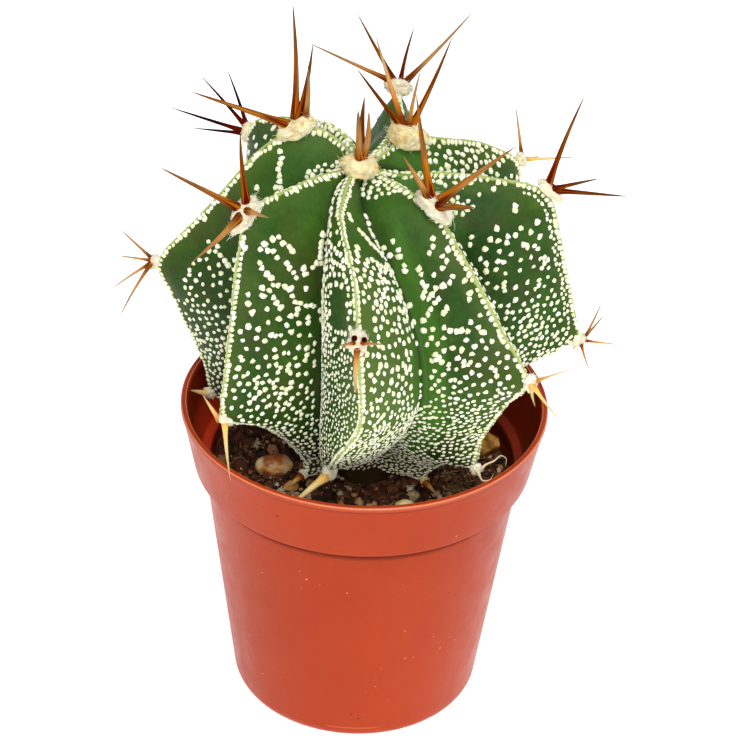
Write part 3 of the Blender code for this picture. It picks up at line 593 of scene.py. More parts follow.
def skin_material():
    look = Look("skin", 0.5, Specular_IOR_Level=0.13, Subsurface_Weight=0.05,
                Subsurface_Scale=0.001, Subsurface_Radius=(0.4, 1.0, 0.15))
    x, y, z = look.axes()
    from_crest, from_groove, up = (look.attribute(name)
                                   for name in ("from_crest", "from_groove", "up_the_rib"))
    look.colour = look.ramp(look.noise(55.0, 2.0), (0.3, (26, 58, 12)), (0.52, (42, 78, 18)),
                            (0.72, (66, 102, 28)))
    cloud = look.noise(240.0, 3.0, 0.6)
    look.paint(look.remap(cloud, 0.5, 0.72, 0.0, 0.6), (26, 50, 12))
    look.paint(look.remap(cloud, 0.45, 0.28, 0.0, 0.5), (82, 102, 38))
    fine = look.noise(900.0, 4.0)
    look.paint(look.remap(fine, 0.35, 0.7, 0.0, 0.35), (28, 48, 14))
    look.paint(look.remap(look.noise(120.0, 2.0), 0.52, 0.66, 0.0, 0.36), (78, 80, 34))
    # Painted light: lighter green on the front of the plant
    front = look.times(look.remap(look.gap(x, 2.5 * MM), 6.5 * MM, 3.0 * MM),
                       look.remap(y, -12.0 * MM, -19.0 * MM))
    look.paint(front, (98, 122, 54), 0.42)
    # Painted shade: darker green on the left side of the plant
    look.paint(look.remap(x, -15.0 * MM, -22.0 * MM, 0.0, 0.45), (26, 40, 16))
    # Painted shade: darker, duller green low on the body, under the bulge of the ribs
    look.paint(look.remap(z, 56.0 * MM, 48.0 * MM, 0.0, 0.45), (42, 44, 18))
    # Painted light: lighter green beside each crest, for the sheen on the ridges
    look.paint(look.remap(from_crest, 4.5, 1.0, 0.0, 0.4), (86, 106, 38))
    look.paint(look.remap(up, 0.7, 0.95), (64, 106, 34), 0.5)
    ragged = look.remap(look.noise(1500.0, 2.0), 0.3, 0.7, -0.15, 0.15)
    look.paint(look.remap(look.plus(from_crest, ragged), 0.95, 0.55), (164, 178, 104))
    # Painted shade: darker green towards each groove
    look.paint(look.remap(from_groove, 2.2, 0.3, 0.0, 0.3), (34, 46, 18))
    # Painted light: lighter green beside the groove between ribs H and A, at the front right
    lit_by_groove = look.times(look.remap(from_groove, 4.4, 2.6), look.remap(x, 2.0 * MM, 4.0 * MM))
    lit_by_groove = look.times(lit_by_groove, look.remap(x, 14.0 * MM, 11.0 * MM))
    look.paint(lit_by_groove, (78, 124, 44), 0.55)
    # Painted shade: dark green in the bottom of each groove
    look.paint(look.remap(from_groove, 0.7, 0.1), (20, 36, 12), 0.7)
    look.paint(look.remap(up, 0.16, 0.04), (60, 46, 22))
    look.link("Roughness", look.remap(fine, 0.3, 0.7, 0.42, 0.6))
    look.bump(look.noise(1800.0, 3.0), 0.12 * MM)
    look.bump(look.noise(350.0, 2.0), 0.25 * MM, 0.6)
    return look.finished()


# The woolly flecks of the skin

# For each flank, named by its rib and the rib that it faces: how far up the rib (0 to 1), the
# spacing and the width of the flecks in mm, their length in widths, and their slant in degrees
# from straight down the rib towards the groove. Above the last line are only those of THICK and
# CHAINS.
FLECKS_HIDDEN = ((0.1, 0.68, 0.54, 1.3, -30), (0.3, 0.86, 0.6, 1.2, -40),
                 (0.45, 1.1, 0.7, 1.1, -20), (0.6, 1.5, 0.84, 1.1, 45), (0.76, 1.9, 0.9, 1.1, 50))
FLECKS = {
    "ab": ((0.15, 0.58, 0.44, 1.4, -25), (0.35, 0.62, 0.45, 1.8, -15), (0.46, 0.66, 0.48, 1.8, 10),
           (0.52, 0.78, 0.58, 1.7, 35), (0.6, 1.0, 0.74, 1.3, 20), (0.68, 0.98, 0.84, 1.1, 0),
           (0.76, 0.92, 0.84, 1.1, 0), (0.97, 0.9, 0.66, 1.1, 0)),
    "ah": ((0.15, 0.55, 0.46, 1.6, -40), (0.36, 0.66, 0.56, 1.7, -35), (0.42, 0.76, 0.62, 1.6, -10),
           (0.5, 1.1, 0.82, 1.35, 0), (0.58, 1.2, 0.88, 1.3, 0), (0.66, 1.1, 0.88, 1.2, 10),
           (0.72, 1.02, 0.9, 1.1, 10)),
    "ba": ((0.18, 0.7, 0.56, 1.15, -50), (0.3, 0.84, 0.68, 1.2, -50), (0.38, 1.02, 0.76, 1.25, -50),
           (0.46, 1.22, 0.86, 1.1, -30), (0.58, 1.45, 0.94, 1.0, 40)),
    "ha": ((0.15, 0.6, 0.5, 1.7, 60), (0.3, 0.67, 0.57, 1.7, 60), (0.4, 0.76, 0.6, 1.6, 60),
           (0.5, 1.04, 0.76, 1.2, 60), (0.58, 1.3, 0.88, 1.1, 50)),
    "gh": ((0.2, 0.64, 0.56, 1.5, 60), (0.42, 0.72, 0.63, 1.5, 60), (0.47, 0.88, 0.7, 1.4, 60),
           (0.55, 1.16, 0.76, 1.2, 60), (0.62, 1.36, 0.76, 1.3, 75), (0.66, 1.6, 0.84, 1.3, 80)),
    "cb": ((0.2, 0.7, 0.6, 1.2, -50), (0.3, 0.78, 0.66, 1.2, -50), (0.4, 0.94, 0.72, 1.15, -50),
           (0.5, 1.1, 0.7, 1.1, -40), (0.59, 1.3, 0.76, 1.1, -40)),
}
# Zones of a flank without scattered flecks: from and to up the rib, and across to the groove
BARE = {
    "ba": ((0.26, 0.37, 0.0, 0.2), (0.3, 0.6, 0.93, 1.0)),
    "ab": ((0.6, 0.68, 0.22, 0.62), (0.76, 0.97, 0.3, 0.6)),
    "ah": ((0.42, 0.58, 0.8, 0.98), (0.6, 0.68, 0.08, 0.24)),
    "ha": ((0.42, 0.6, 0.9, 1.0), (0.47, 0.56, 0.0, 0.14)),
    "cb": ((0.45, 0.64, 0.0, 0.36),),
}
# Zones that are thick with flecks, with their spacing and width in mm
THICK = {
    "ah": ((0.66, 0.745, 0.14, 0.88, 1.18, 0.94), (0.6, 0.66, 0.3, 0.9, 1.2, 0.9)),
    "ab": ((0.62, 0.8, 0.55, 0.95, 1.1, 0.8),),
    "ha": ((0.905, 0.975, 0.2, 0.95, 0.88, 0.84),),
    "gh": ((0.82, 0.93, 0.08, 0.42, 0.9, 0.88), (0.78, 0.84, 0.5, 0.75, 0.9, 0.84),
           (0.44, 0.73, 0.03, 0.17, 0.76, 0.6)),
    "fg": ((0.67, 0.87, 0.05, 0.7, 1.14, 0.9),),
    "dc": ((0.86, 0.97, 0.04, 0.3, 0.8, 0.84), (0.84, 0.97, 0.72, 0.96, 0.8, 0.84)),
    "cb": ((0.86, 0.96, 0.8, 0.97, 0.8, 0.76),),
}
# Rows of touching flecks: how many, and the points (up, across) that each row follows
CHAINS = {
    "ba": ((5, (0.69, 0.31), (0.715, 0.37), (0.73, 0.48), (0.72, 0.54)),
           (3, (0.69, 0.34), (0.7, 0.44)),
           (7, (0.665, 0.31), (0.645, 0.42), (0.63, 0.52), (0.635, 0.6)), (1, (0.69, 0.5)),
           (3, (0.72, 0.6), (0.71, 0.66)), (4, (0.685, 0.6), (0.66, 0.72)),
           (2, (0.68, 0.78), (0.67, 0.8)), (4, (0.63, 0.66), (0.59, 0.74)), (1, (0.635, 0.8)),
           (4, (0.6, 0.78), (0.595, 0.9)), (3, (0.62, 0.36), (0.62, 0.44)), (1, (0.605, 0.38)),
           (3, (0.605, 0.5), (0.59, 0.58)), (1, (0.6, 0.22)), (3, (0.57, 0.05), (0.57, 0.14)),
           (2, (0.565, 0.27), (0.57, 0.32)), (2, (0.57, 0.67), (0.575, 0.74)),
           (2, (0.57, 0.85), (0.555, 0.85)), (1, (0.68, 0.1)), (2, (0.58, 0.97), (0.56, 0.97)),
           (6, (0.765, 0.93), (0.7, 0.95)), (2, (0.7, 0.9), (0.69, 0.88))),
    "ah": ((2, (0.875, 0.22), (0.865, 0.25)), (3, (0.84, 0.33), (0.825, 0.42)),
           (7, (0.81, 0.5), (0.78, 0.7), (0.765, 0.82)), (16, (0.86, 0.95), (0.64, 0.93)),
           (6, (0.765, 0.3), (0.72, 0.16)), (4, (0.745, 0.5), (0.73, 0.75))),
    "ab": ((14, (0.7, 0.86), (0.6, 0.82), (0.54, 0.8)), (8, (0.66, 0.7), (0.6, 0.66)),
           (12, (0.9, 0.9), (0.77, 0.92))),
    "ha": ((1, (0.8, 0.8)), (2, (0.785, 0.95), (0.765, 0.93)), (3, (0.78, 0.78), (0.765, 0.83)),
           (2, (0.745, 0.82), (0.73, 0.84)), (4, (0.735, 0.66), (0.705, 0.7)), (1, (0.72, 0.52)),
           (1, (0.765, 0.45)), (2, (0.79, 0.3), (0.775, 0.36)), (4, (0.695, 0.68), (0.665, 0.8)),
           (5, (0.67, 0.6), (0.635, 0.78)), (2, (0.62, 0.86), (0.615, 0.89)), (1, (0.65, 0.97)),
           (3, (0.775, 0.12), (0.76, 0.22), (0.755, 0.3)), (2, (0.755, 0.1), (0.745, 0.06)),
           (2, (0.74, 0.3), (0.73, 0.38)), (4, (0.71, 0.31), (0.69, 0.56)),
           (2, (0.715, 0.13), (0.7, 0.2)), (3, (0.675, 0.2), (0.665, 0.24)), (1, (0.665, 0.12)),
           (3, (0.685, 0.62), (0.67, 0.7)), (2, (0.65, 0.56), (0.64, 0.6)),
           (4, (0.635, 0.22), (0.625, 0.08)), (1, (0.61, 0.97)), (3, (0.62, 0.36), (0.6, 0.26)),
           (5, (0.603, 0.42), (0.603, 0.68)), (2, (0.6, 0.8), (0.595, 0.88))),
    "gh": ((2, (0.727, 0.33), (0.72, 0.38)), (1, (0.711, 0.6)), (1, (0.683, 0.43)),
           (1, (0.727, 0.8)), (1, (0.712, 0.86)), (1, (0.703, 0.72)),
           (2, (0.685, 0.78), (0.675, 0.85)), (1, (0.69, 0.65)), (1, (0.69, 0.57)),
           (3, (0.68, 0.6), (0.668, 0.7)), (1, (0.68, 0.5)), (1, (0.665, 0.37)),
           (2, (0.655, 0.47), (0.645, 0.44)), (1, (0.67, 0.28)), (1, (0.655, 0.8)),
           (1, (0.64, 0.85)), (1, (0.695, 0.97)), (3, (0.67, 0.97), (0.655, 0.94)),
           (1, (0.78, 0.2)), (1, (0.79, 0.36))),
    "cb": ((1, (0.755, 0.45)), (8, (0.828, 0.2), (0.828, 0.39), (0.817, 0.5), (0.8, 0.72)),
           (2, (0.79, 0.68), (0.79, 0.75)), (4, (0.6, 0.55), (0.585, 0.72)),
           (3, (0.61, 0.8), (0.6, 0.88)), (1, (0.63, 0.15))),
    "dc": ((3, (0.78, 0.2), (0.74, 0.2)),),
}
# The width of a row's flecks in mm, and their room, stretch and slant
CHAIN_WIDTH = 1.0
CHAIN_ROOM = 0.66
CHAIN_STRETCH = 1.12
CHAIN_SLANT = 45.0
# The room in spacings, stretch and slant of the flecks in thick zones
THICK_ROOM = 0.88
THICK_STRETCH = 1.15
THICK_SLANT = 20.0
# How much the spacing of scattered flecks changes from patch to patch, and waves per metre
PATCHY = 0.22
PATCH_WAVES = 260.0
# How far off a twin lies and the room that it needs, in widths, and the least width that has one
TWIN_GAP = 0.92
TWIN_ROOM = 0.76
TWIN_LEAST = 0.6 * MM
# The share of scattered flecks that have a twin beside them
USUAL_TWINS = 0.08
TWINS = {"ba": 0.3, "ha": 0.26, "gh": 0.24, "ah": 0.12, "cb": 0.16, "ab": 0.1}
MOST_FLECKS = 4000
CANDIDATES = 9000
THICK_CANDIDATES = 900
FLECK_SIDES = 7
# Half the size of a fleck in widths, and how much its direction wavers
FLECK_HALF = 0.52
FLECK_TILT = 0.07
# The rows of beads on both sides of a crest: up the rib, spacing, width and offset in mm
BEADS = ((0.1, 0.6, 0.58, 0.66), (0.4, 0.74, 0.7, 0.78), (0.6, 0.88, 0.82, 0.92),
         (0.8, 0.88, 0.88, 1.02), (0.9, 0.88, 0.92, 1.04), (0.98, 0.78, 0.72, 0.8))


def flank_grid(surface, rib, facing):
    """Points and normals of one flank, with its columns going from crest to groove."""
    k = RIB_ORDER.index(rib)
    clockwise = RIB_ORDER[(k + 1) % len(RIB_ORDER)] == facing
    step = 1 if clockwise else -1
    columns = (2 * HALF * k + step * np.arange(HALF + 1)) % (2 * HALF * len(RIB_ORDER))
    return surface["points"][:, columns], surface["normals"][:, columns]


def on_flank(grid, up, across):
    """Interpolate a flank's points and normals at shares up the rib and across the flank."""
    points, normals = grid
    row = np.clip(up, 0.0, 1.0) * (len(points) - 1.001)
    column = np.interp(across, COLUMN_SHARES, np.arange(HALF + 1))
    column = np.clip(column, 0.0, HALF - 0.001)
    r, c = row.astype(int), column.astype(int)
    u, v = (row - r)[:, None], (column - c)[:, None]

    def between(values):
        return ((values[r, c] * (1 - v) + values[r, c + 1] * v) * (1 - u)
                + (values[r + 1, c] * (1 - v) + values[r + 1, c + 1] * v) * u)

    return between(points), unit(between(normals))


def down_and_over(grid, up, across):
    """How a place moves down the rib and towards the groove, in metres for each whole share."""
    step = 0.01
    here = on_flank(grid, up, across)[0]
    down = (on_flank(grid, up - step, across)[0] - here) / step
    over = (on_flank(grid, up, across + step)[0] - here) / step
    back = (here - on_flank(grid, up, across - step)[0]) / step
    return down, np.where((across > 0.95)[:, None], back, over)


class Flank:
    """The flecks of one flank, placed one by one where there is room."""

    def __init__(self, surface, rib, facing, draw):
        self.grid = flank_grid(surface, rib, facing)
        self.name = rib + facing
        self.draw = draw
        self.kept = np.zeros((MOST_FLECKS, 3))
        self.rows = []

    def add(self, place, normal, along, width, stretch, room):
        """Keep a fleck unless one lies nearer than its room."""
        near = self.kept[:len(self.rows)]
        if len(near) and np.min(np.sum((near - place) ** 2, axis=1)) < room ** 2:
            return False
        self.kept[len(self.rows)] = place
        self.rows.append((*place, *normal, *along, width, stretch))
        return True

    def add_all(self, up, across, room, width, stretch, slant):
        """Try flecks at many places in turn, each turned to its slant."""
        places, normals = on_flank(self.grid, up, across)
        down, over = down_and_over(self.grid, up, across)
        turn = np.radians(slant + self.draw.normal(0.0, 14.0, len(up)))[:, None]
        along = unit(down) * np.cos(turn) + unit(over) * np.sin(turn)
        widths = width * self.draw.uniform(0.82, 1.16, len(up))
        return [self.add(*row) for row in zip(places, normals, along, widths, stretch, room)]

    def chain(self, count, points):
        """A row of flecks at equal steps along a line of points (up, across)."""
        given = np.array(points + points[-1:])
        t = np.linspace(0.0, len(given) - 2.0, 40)
        up, across = (np.interp(t, np.arange(len(given)), given[:, i]) for i in (0, 1))
        line = on_flank(self.grid, up, across)[0]
        gone = distances(line)
        wanted = np.linspace(0.0, gone[-1], count)
        up = np.interp(wanted, gone, up) + self.draw.normal(0.0, 0.0015, count)
        across = np.interp(wanted, gone, across) + self.draw.normal(0.0, 0.008, count)
        size = np.full(count, CHAIN_WIDTH * MM)
        self.add_all(up, across, CHAIN_ROOM * size, size, np.full(count, CHAIN_STRETCH),
                     np.full(count, CHAIN_SLANT))

    def beads(self):
        """The row of flecks beside the crest."""
        points = self.grid[0]
        widths = np.linalg.norm(points[:, -1] - points[:, 0], axis=1)
        lengths = distances(points[:, 0])
        shares = np.linspace(0.0, 1.0, len(lengths))
        table = np.array(BEADS).T
        at, places = 0.05 * lengths[-1], []
        while at < 0.975 * lengths[-1]:
            places.append(np.interp(at, lengths, shares))
            at += np.interp(places[-1], table[0], table[1]) * MM * self.draw.uniform(0.86, 1.14)
        up = np.array(places)
        up = up[self.draw.uniform(0.0, 1.0, len(up)) > 0.05]
        width = np.interp(up, table[0], table[2]) * MM * self.draw.uniform(0.78, 1.14, len(up))
        offset = np.interp(up, table[0], table[3]) * MM * self.draw.uniform(0.9, 1.2, len(up))
        across = np.minimum(offset / np.interp(up, shares, widths), 0.45)
        turned = np.interp(up, (0.3, 0.42, 0.72, 0.86), (0.8, 0.0, 0.0, 1.0))
        self.add_all(up, across, 0.5 * width, width, 1.1 + 0.3 * turned, 85.0 * turned)

    def scatter(self, up, across, spacing, width, stretch, slant):
        """Flecks at random, in loose rows, with bare and busy patches."""
        places = on_flank(self.grid, up, across)[0]
        room = spacing * (1.0 + PATCHY * wave(places, PATCH_WAVES, 7.0, 1))
        for zone in BARE.get(self.name, ()):
            clear = ((up < zone[0]) | (up > zone[1]) | (across < zone[2]) | (across > zone[3]))
            up, across, room, width, stretch, slant = (
                values[clear] for values in (up, across, room, width, stretch, slant))
        first = len(self.rows)
        self.add_all(up, across, room, width, stretch, slant)
        self.twins(first)

    def twins(self, first):
        """Give some of the flecks from the first on a neighbour that touches them."""
        rows = np.array(self.rows[first:])
        share = TWINS.get(self.name, USUAL_TWINS)
        chosen = rows[self.draw.uniform(0.0, 1.0, len(rows)) < share]
        turn = self.draw.uniform(0.0, 2.0 * math.pi, len(chosen))
        for row, angle in zip(chosen, turn):
            place, normal, along = row[0:3], row[3:6], row[6:9]
            width, stretch = row[9:]
            step = along * math.cos(angle) + np.cross(normal, along) * math.sin(angle)
            if width > TWIN_LEAST:
                self.add(place + TWIN_GAP * width * step, normal, along, width, stretch,
                         TWIN_ROOM * width)

    def fill(self):
        draw = self.draw
        self.beads()
        for count, *points in CHAINS.get(self.name, ()):
            self.chain(count, points)
        for low, high, near, far, spacing, size in THICK.get(self.name, ()):
            up = draw.uniform(low, high, THICK_CANDIDATES)
            across = draw.uniform(near, far, THICK_CANDIDATES)
            full = np.ones(THICK_CANDIDATES)
            self.add_all(up, across, THICK_ROOM * spacing * MM * full, size * MM * full,
                         THICK_STRETCH * full, THICK_SLANT * full)
        table = np.array(FLECKS.get(self.name, FLECKS_HIDDEN)).T
        up = draw.uniform(0.03, table[0][-1] + 0.02, CANDIDATES)
        across = draw.uniform(0.03, 0.985, CANDIDATES)
        spacing, width, stretch, slant = (np.interp(up, table[0], row) for row in table[1:])
        self.scatter(up, across, spacing * MM, width * MM, stretch, slant)
        return np.array(self.rows)


def make_flecks(surface, mat):
    """All the flecks, each a low cushion of wool on the skin."""
    draw = np.random.default_rng(11)
    count = len(RIB_ORDER)
    for k, rib in enumerate(RIB_ORDER):
        rows = [Flank(surface, rib, facing, draw).fill()
                for facing in (RIB_ORDER[(k + 1) % count], RIB_ORDER[k - 1])]
        fleck_mesh("flecks_" + rib, np.vstack(rows), mat, draw)


def fleck_mesh(name, rows, mat, draw):
    """Cushions of wool from rows of place, normal, direction, width and stretch."""
    count, sides = len(rows), FLECK_SIDES
    places, normals, along = rows[:, 0:3], rows[:, 3:6], rows[:, 6:9]
    widths = rows[:, 9]
    tilt = unit(normals + draw.normal(0.0, FLECK_TILT, (count, 3)))
    second = unit(np.cross(tilt, along))
    first = np.cross(second, tilt)
    long = FLECK_HALF * widths * np.sqrt(rows[:, 10])
    short = FLECK_HALF * widths / np.sqrt(rows[:, 10])
    turn = turns(sides) + draw.uniform(0.0, 0.6, (count, sides))
    reach = draw.uniform(0.7, 1.22, (count, sides))
    flat = (first[:, None, :] * (np.cos(turn) * reach * long[:, None])[:, :, None]
            + second[:, None, :] * (np.sin(turn) * reach * short[:, None])[:, :, None])
    rise = tilt[:, None, :] * (widths * draw.uniform(0.2, 0.32, count))[:, None, None]
    base = places[:, None, :] + flat - 0.4 * rise
    shoulder = places[:, None, :] + flat * 0.88 + 0.66 * rise
    top = places[:, None, :] + rise
    verts = np.concatenate([base, shoulder, top], axis=1)
    faces = []
    for k in range(sides):
        after = (k + 1) % sides
        faces += [(k, after, sides + after), (k, sides + after, sides + k),
                  (sides + k, sides + after, 2 * sides)]
    size = 2 * sides + 1
    tint = np.repeat(draw.uniform(0.0, 1.0, count), size)
    mesh_object(name, verts, repeated(np.array(faces), count, size), mat, "cactus_skin",
                {"tint": tint})


def fleck_material():
    look = Look("fleck_wool", 0.95, Sheen_Weight=0.2, Sheen_Roughness=0.5,
                Specular_IOR_Level=0.2)
    look.colour = look.ramp(look.attribute("tint"), (0.0, (236, 238, 190)),
                            (0.5, (250, 251, 218)), (1.0, (255, 254, 240)))
    grain = look.noise(5000.0, 2.0)
    look.paint(look.remap(grain, 0.4, 0.75, 0.0, 0.22), (216, 218, 166))
    look.bump(grain, 0.1 * MM)
    return look.finished()


# The areoles

# How each areole looks: how pale its wool is (0 straw, 1 white), its pad's width, length and
# height beside its solid's, the length of its tail of wool in pads, the radius of its longest
# spine in mm, and how dark each spine is (0 straw, 0.5 red-brown, 1 near black)
PADS = {
    "a1": (0.12, (1.2, 0.7, 0.95), 0.0, 0.96, (0.46, 0.34, 0.3, 0.38)),
    "a2": (0.9, (0.95, 0.9, 0.8), 0.2, 0.5, (0.09, 0.26, 0.26, 1.0, 1.0)),
    "a3": (0.8, (0.85, 0.75, 0.85), 0.1, 0.92, (0.03,)),
    "b1": (0.85, (0.95, 1.1, 0.8), 0.45, 0.7, (0.46, 0.42, 0.3, 0.24)),
    "b2": (0.9, (0.66, 0.74, 0.44), 0.3, 0.62, (0.07, 0.0)),
    "b3": (0.7, (0.8, 0.7, 0.5), 0.0, 0.95, (0.16,)),
    "c1": (0.3, (0.85, 0.82, 1.0), 0.55, 0.68, (0.44, 0.54, 0.32, 0.42)),
    "c2": (0.85, (0.52, 0.62, 0.5), 0.2, 0.4, (0.24, 0.18, 0.24, 0.3)),
    "c3": (0.7, (0.55, 0.55, 0.5), 0.2, 0.8, (0.03, 0.0)),
    "d1": (0.65, (0.5, 0.8, 0.5), 0.2, 0.44, (0.95, 0.95, 0.95, 0.95)),
    "d2": (0.8, (0.8, 0.8, 0.8), 0.2, 0.42, (0.6, 0.5, 0.6, 0.4)),
    "d3": (0.6, (0.8, 0.8, 0.8), 0.1, 0.36, (0.2,)),
    "e1": (0.75, (1.2, 1.1, 0.8), 0.3, 0.5, (0.28, 0.54, 0.64, 0.3, 0.6)),
    "e2": (0.8, (0.8, 0.8, 0.8), 0.2, 0.42, (0.5, 0.6, 0.4, 0.5)),
    "e3": (0.6, (0.8, 0.8, 0.8), 0.1, 0.34, (0.2,)),
    "f1": (0.1, (1.2, 0.86, 1.15), 0.0, 0.58, (0.52, 0.14, 0.26, 0.46)),
    "f2": (0.6, (0.46, 0.6, 0.5), 0.2, 0.42, (0.2, 0.05, 0.04, 0.5)),
    "f3": (0.8, (0.8, 0.8, 0.8), 0.2, 0.42, (0.5, 0.4, 0.5, 0.6)),
    "f4": (0.6, (0.8, 0.8, 0.8), 0.1, 0.34, (0.2,)),
    "g1": (0.7, (0.6, 0.86, 0.55), 0.3, 0.58, (0.48, 0.56, 0.54, 0.6)),
    "g2": (0.85, (0.56, 0.7, 0.5), 0.2, 0.38, (0.1, 0.16, 0.3, 0.3)),
    "g3": (0.6, (0.8, 0.8, 0.8), 0.1, 0.36, (0.1,)),
    "h1": (0.75, (1.1, 1.1, 0.85), 0.4, 0.76, (0.42, 0.28, 0.34, 0.4)),
    "h2": (0.9, (0.8, 0.6, 0.5), 0.6, 0.52, (0.07, 0.05, 0.03)),
    "h3": (0.9, (0.65, 0.7, 0.55), 0.2, 0.3, (-0.2, -0.2)),
    "h4": (0.0, (0.5, 0.5, 0.5), 0.0, 0.76, (0.24,)),
}
# Pads that lean along their crest, in degrees, and how far pads sit from their place, in mm
LEANS = {"b2": 28.0, "c1": 24.0}
SHIFTS = {"a1": (0.0, 0.0, 0.5), "b2": (0.55, 0.5, -0.5), "c1": (-0.4, 0.0, -0.1)}
# Spines whose roots stand apart from where their lean puts them, in mm
ROOTS = {
    "a2": ((0, 0, 0), (0, 0, 0), (0, 0, 0), (-0.4, 0.0, 0.5), (0.75, 0.0, 0.3)),
    "c1": ((-0.6, 0.4, 0.2), (-0.3, -0.2, 0.0), (0.7, 0.2, 0.1), (-0.4, 0.0, 0.0)),
    "d1": ((0.1, 0.0, 0.4), (0.1, 0.0, 0.4), (-0.3, 0.0, 0.1), (-0.3, 0.0, -0.2)),
}
# How stout a spine is and the power of its taper, and the spines (bunch and number) that differ
USUAL_BUILD = (1.0, 0.75)
STOUT = {("a2", 0): (1.15, 0.28), ("b2", 1): (0.86, 0.9), ("h1", 3): (1.1, 0.5),
         ("h2", 0): (0.8, 2.0), ("h2", 1): (1.0, 1.5), ("h3", 0): (1.8, 1.7)}
# Spines that curl, or end elsewhere than their solids': the points in mm from their areole's place
CURLS = {
    "a2": (((0.0, -7.0, -3.5),), ((-2.5, -4.0, 2.0),), ((3.5, -4.0, 2.5),), ((-0.45, -5.9, 4.4),),
           ((0.9, -5.9, 4.2),)),
    "a1": (((0.1, 1.4, 5.5), (0.2, 1.5, 10.8)), ((-0.5, -0.1, 5.0), (-0.6, -0.3, 9.6)),
           ((0.8, 0.7, 4.6), (0.9, 1.0, 8.8)), ((-0.3, 1.3, 4.0), (-0.7, 2.2, 7.8))),
    "h3": (((0.6, -2.9, 0.7), (1.0, -4.5, 1.2), (1.95, -4.0, 1.2), (2.6, -1.9, 1.0)),
           ((1.3, 0.3, 0.6), (2.5, 1.2, 0.7), (3.5, 2.5, 0.8), (4.2, 2.2, 0.8), (4.5, 1.6, 0.7),
            (4.3, 0.5, 0.4))),
}
PAD_RISE = 1.5 * MM
PAD_ROWS = 26
PAD_COLUMNS = 40
# How boxy a pad is: the power of its round, where 2 is a ball
PAD_POWER = 2.2
BOXY = {"f1": 3.0}
# Hairs for each square mm of a pad, and the fewest; the steps and the radius of a hair
PAD_HAIRS = 46
LEAST_HAIRS = 60
HAIR_STEPS = 6
HAIR_RADIUS = 0.042 * MM
FIBRE_RADIUS = 0.07 * MM
SPINE_LONG = 14.0 * MM
SPINE_SPREAD = 0.55
SPINE_SIDES = 10
SPINE_SHARES = np.concatenate([(-0.034, -0.03, -0.016, 0.0), np.linspace(0.03, 1.0, 17)])
STRAND_SIDES = 3


def crest_frame(rib, place):
    """Outward direction and direction along the crest, at the crest point nearest a place."""
    crest = smooth_path(rib_points(CRESTS[rib]), 120)
    gaps = np.linalg.norm(crest - np.array(place), axis=1)
    nearest = int(np.clip(np.argmin(gaps), 3, len(crest) - 4))
    along = Vector(crest[nearest + 3] - crest[nearest - 3]).normalized()
    centre = Vector((*axis_at(place.z), place.z))
    radial = place - centre
    side = Vector((-radial.y, radial.x, 0.0)).normalized()
    outward = along.cross(side).normalized()
    if outward.dot(place - Vector((0.0, 0.0, MIDDLE_HEIGHT))) < 0.0:
        outward = -outward
    return outward, along


class Pad:
    """The frame of one areole: across and along its crest, and outward."""

    def __init__(self, label, seed):
        azimuth, radius_mm, height_mm, half_length, half_width, vectors = AREOLES[label]
        self.label = label
        self.seed = seed
        self.pale, sizes, self.tail, self.radius, self.tones = PADS[label]
        self.place = plant_point(azimuth, radius_mm, height_mm)
        outward, along = crest_frame(label[0], self.place)
        lean = Matrix.Rotation(math.radians(LEANS.get(label, 0.0)), 3, along.cross(outward))
        self.frame = np.array([along.cross(outward), lean @ along, lean @ outward])
        self.half = np.array([half_width * MM, half_length * MM, PAD_RISE]) * sizes
        self.middle = np.array(self.place) + np.array(SHIFTS.get(label, (0.0, 0.0, 0.0))) * MM
        self.spines = [self.spine_path(k, vector) for k, vector in enumerate(vectors)]

    def spine_path(self, k, vector):
        """A spine's points, from its own root on the pad to its tip."""
        vector = np.array(vector) * MM
        lean = self.frame @ (vector / np.linalg.norm(vector))
        root = np.array([SPINE_SPREAD, SPINE_SPREAD, 0.0]) * lean * self.half
        root[2] = 0.62 * self.half[2]
        root = self.middle + root @ self.frame
        if self.label in ROOTS:
            root += np.array(ROOTS[self.label][k]) * MM
        if self.label in CURLS:
            return np.vstack([root, np.array(self.place) + np.array(CURLS[self.label][k]) * MM])
        return np.array([root, np.array(self.place) + vector])

    def surface(self, ball):
        """Where the wool lies in the directions of a unit ball: ragged, and with a tail."""
        turn = np.arctan2(ball[..., 1], ball[..., 0])
        circle = np.stack([np.cos(turn), np.sin(turn), np.zeros_like(turn)], axis=-1)
        ragged = 1.0 + 0.3 * wave(circle * 1.4, 1.0, self.seed, 2)
        tail = self.tail * np.exp(-((turn + 0.5 * math.pi) / 0.38) ** 2)
        mound = 1.0 + 0.14 * wave(ball * 1.5, 1.0, self.seed + 9.0, 2)
        level = np.hypot(ball[..., 0], ball[..., 1])
        power = BOXY.get(self.label, PAD_POWER)
        full = mound / (level ** power + np.abs(ball[..., 2]) ** power) ** (1.0 / power)
        stretch = np.stack([ragged, ragged + tail, np.ones_like(turn)], axis=-1)
        return self.middle + (ball * self.half * stretch * full[..., None]) @ self.frame

    def stain(self, points):
        """How much the brown of the spines' roots tints the wool at points."""
        near = np.full(points.shape[:-1], 9.0)
        for path in self.spines:
            start, step = path[0], unit(path[1] - path[0])
            share = np.clip(np.sum((points - start) * step, axis=-1), -0.3 * MM, 2.0 * MM)
            gap = points - start - share[..., None] * step
            near = np.minimum(near, np.linalg.norm(gap, axis=-1) / MM)
        return np.exp(-(near / 0.75) ** 2)


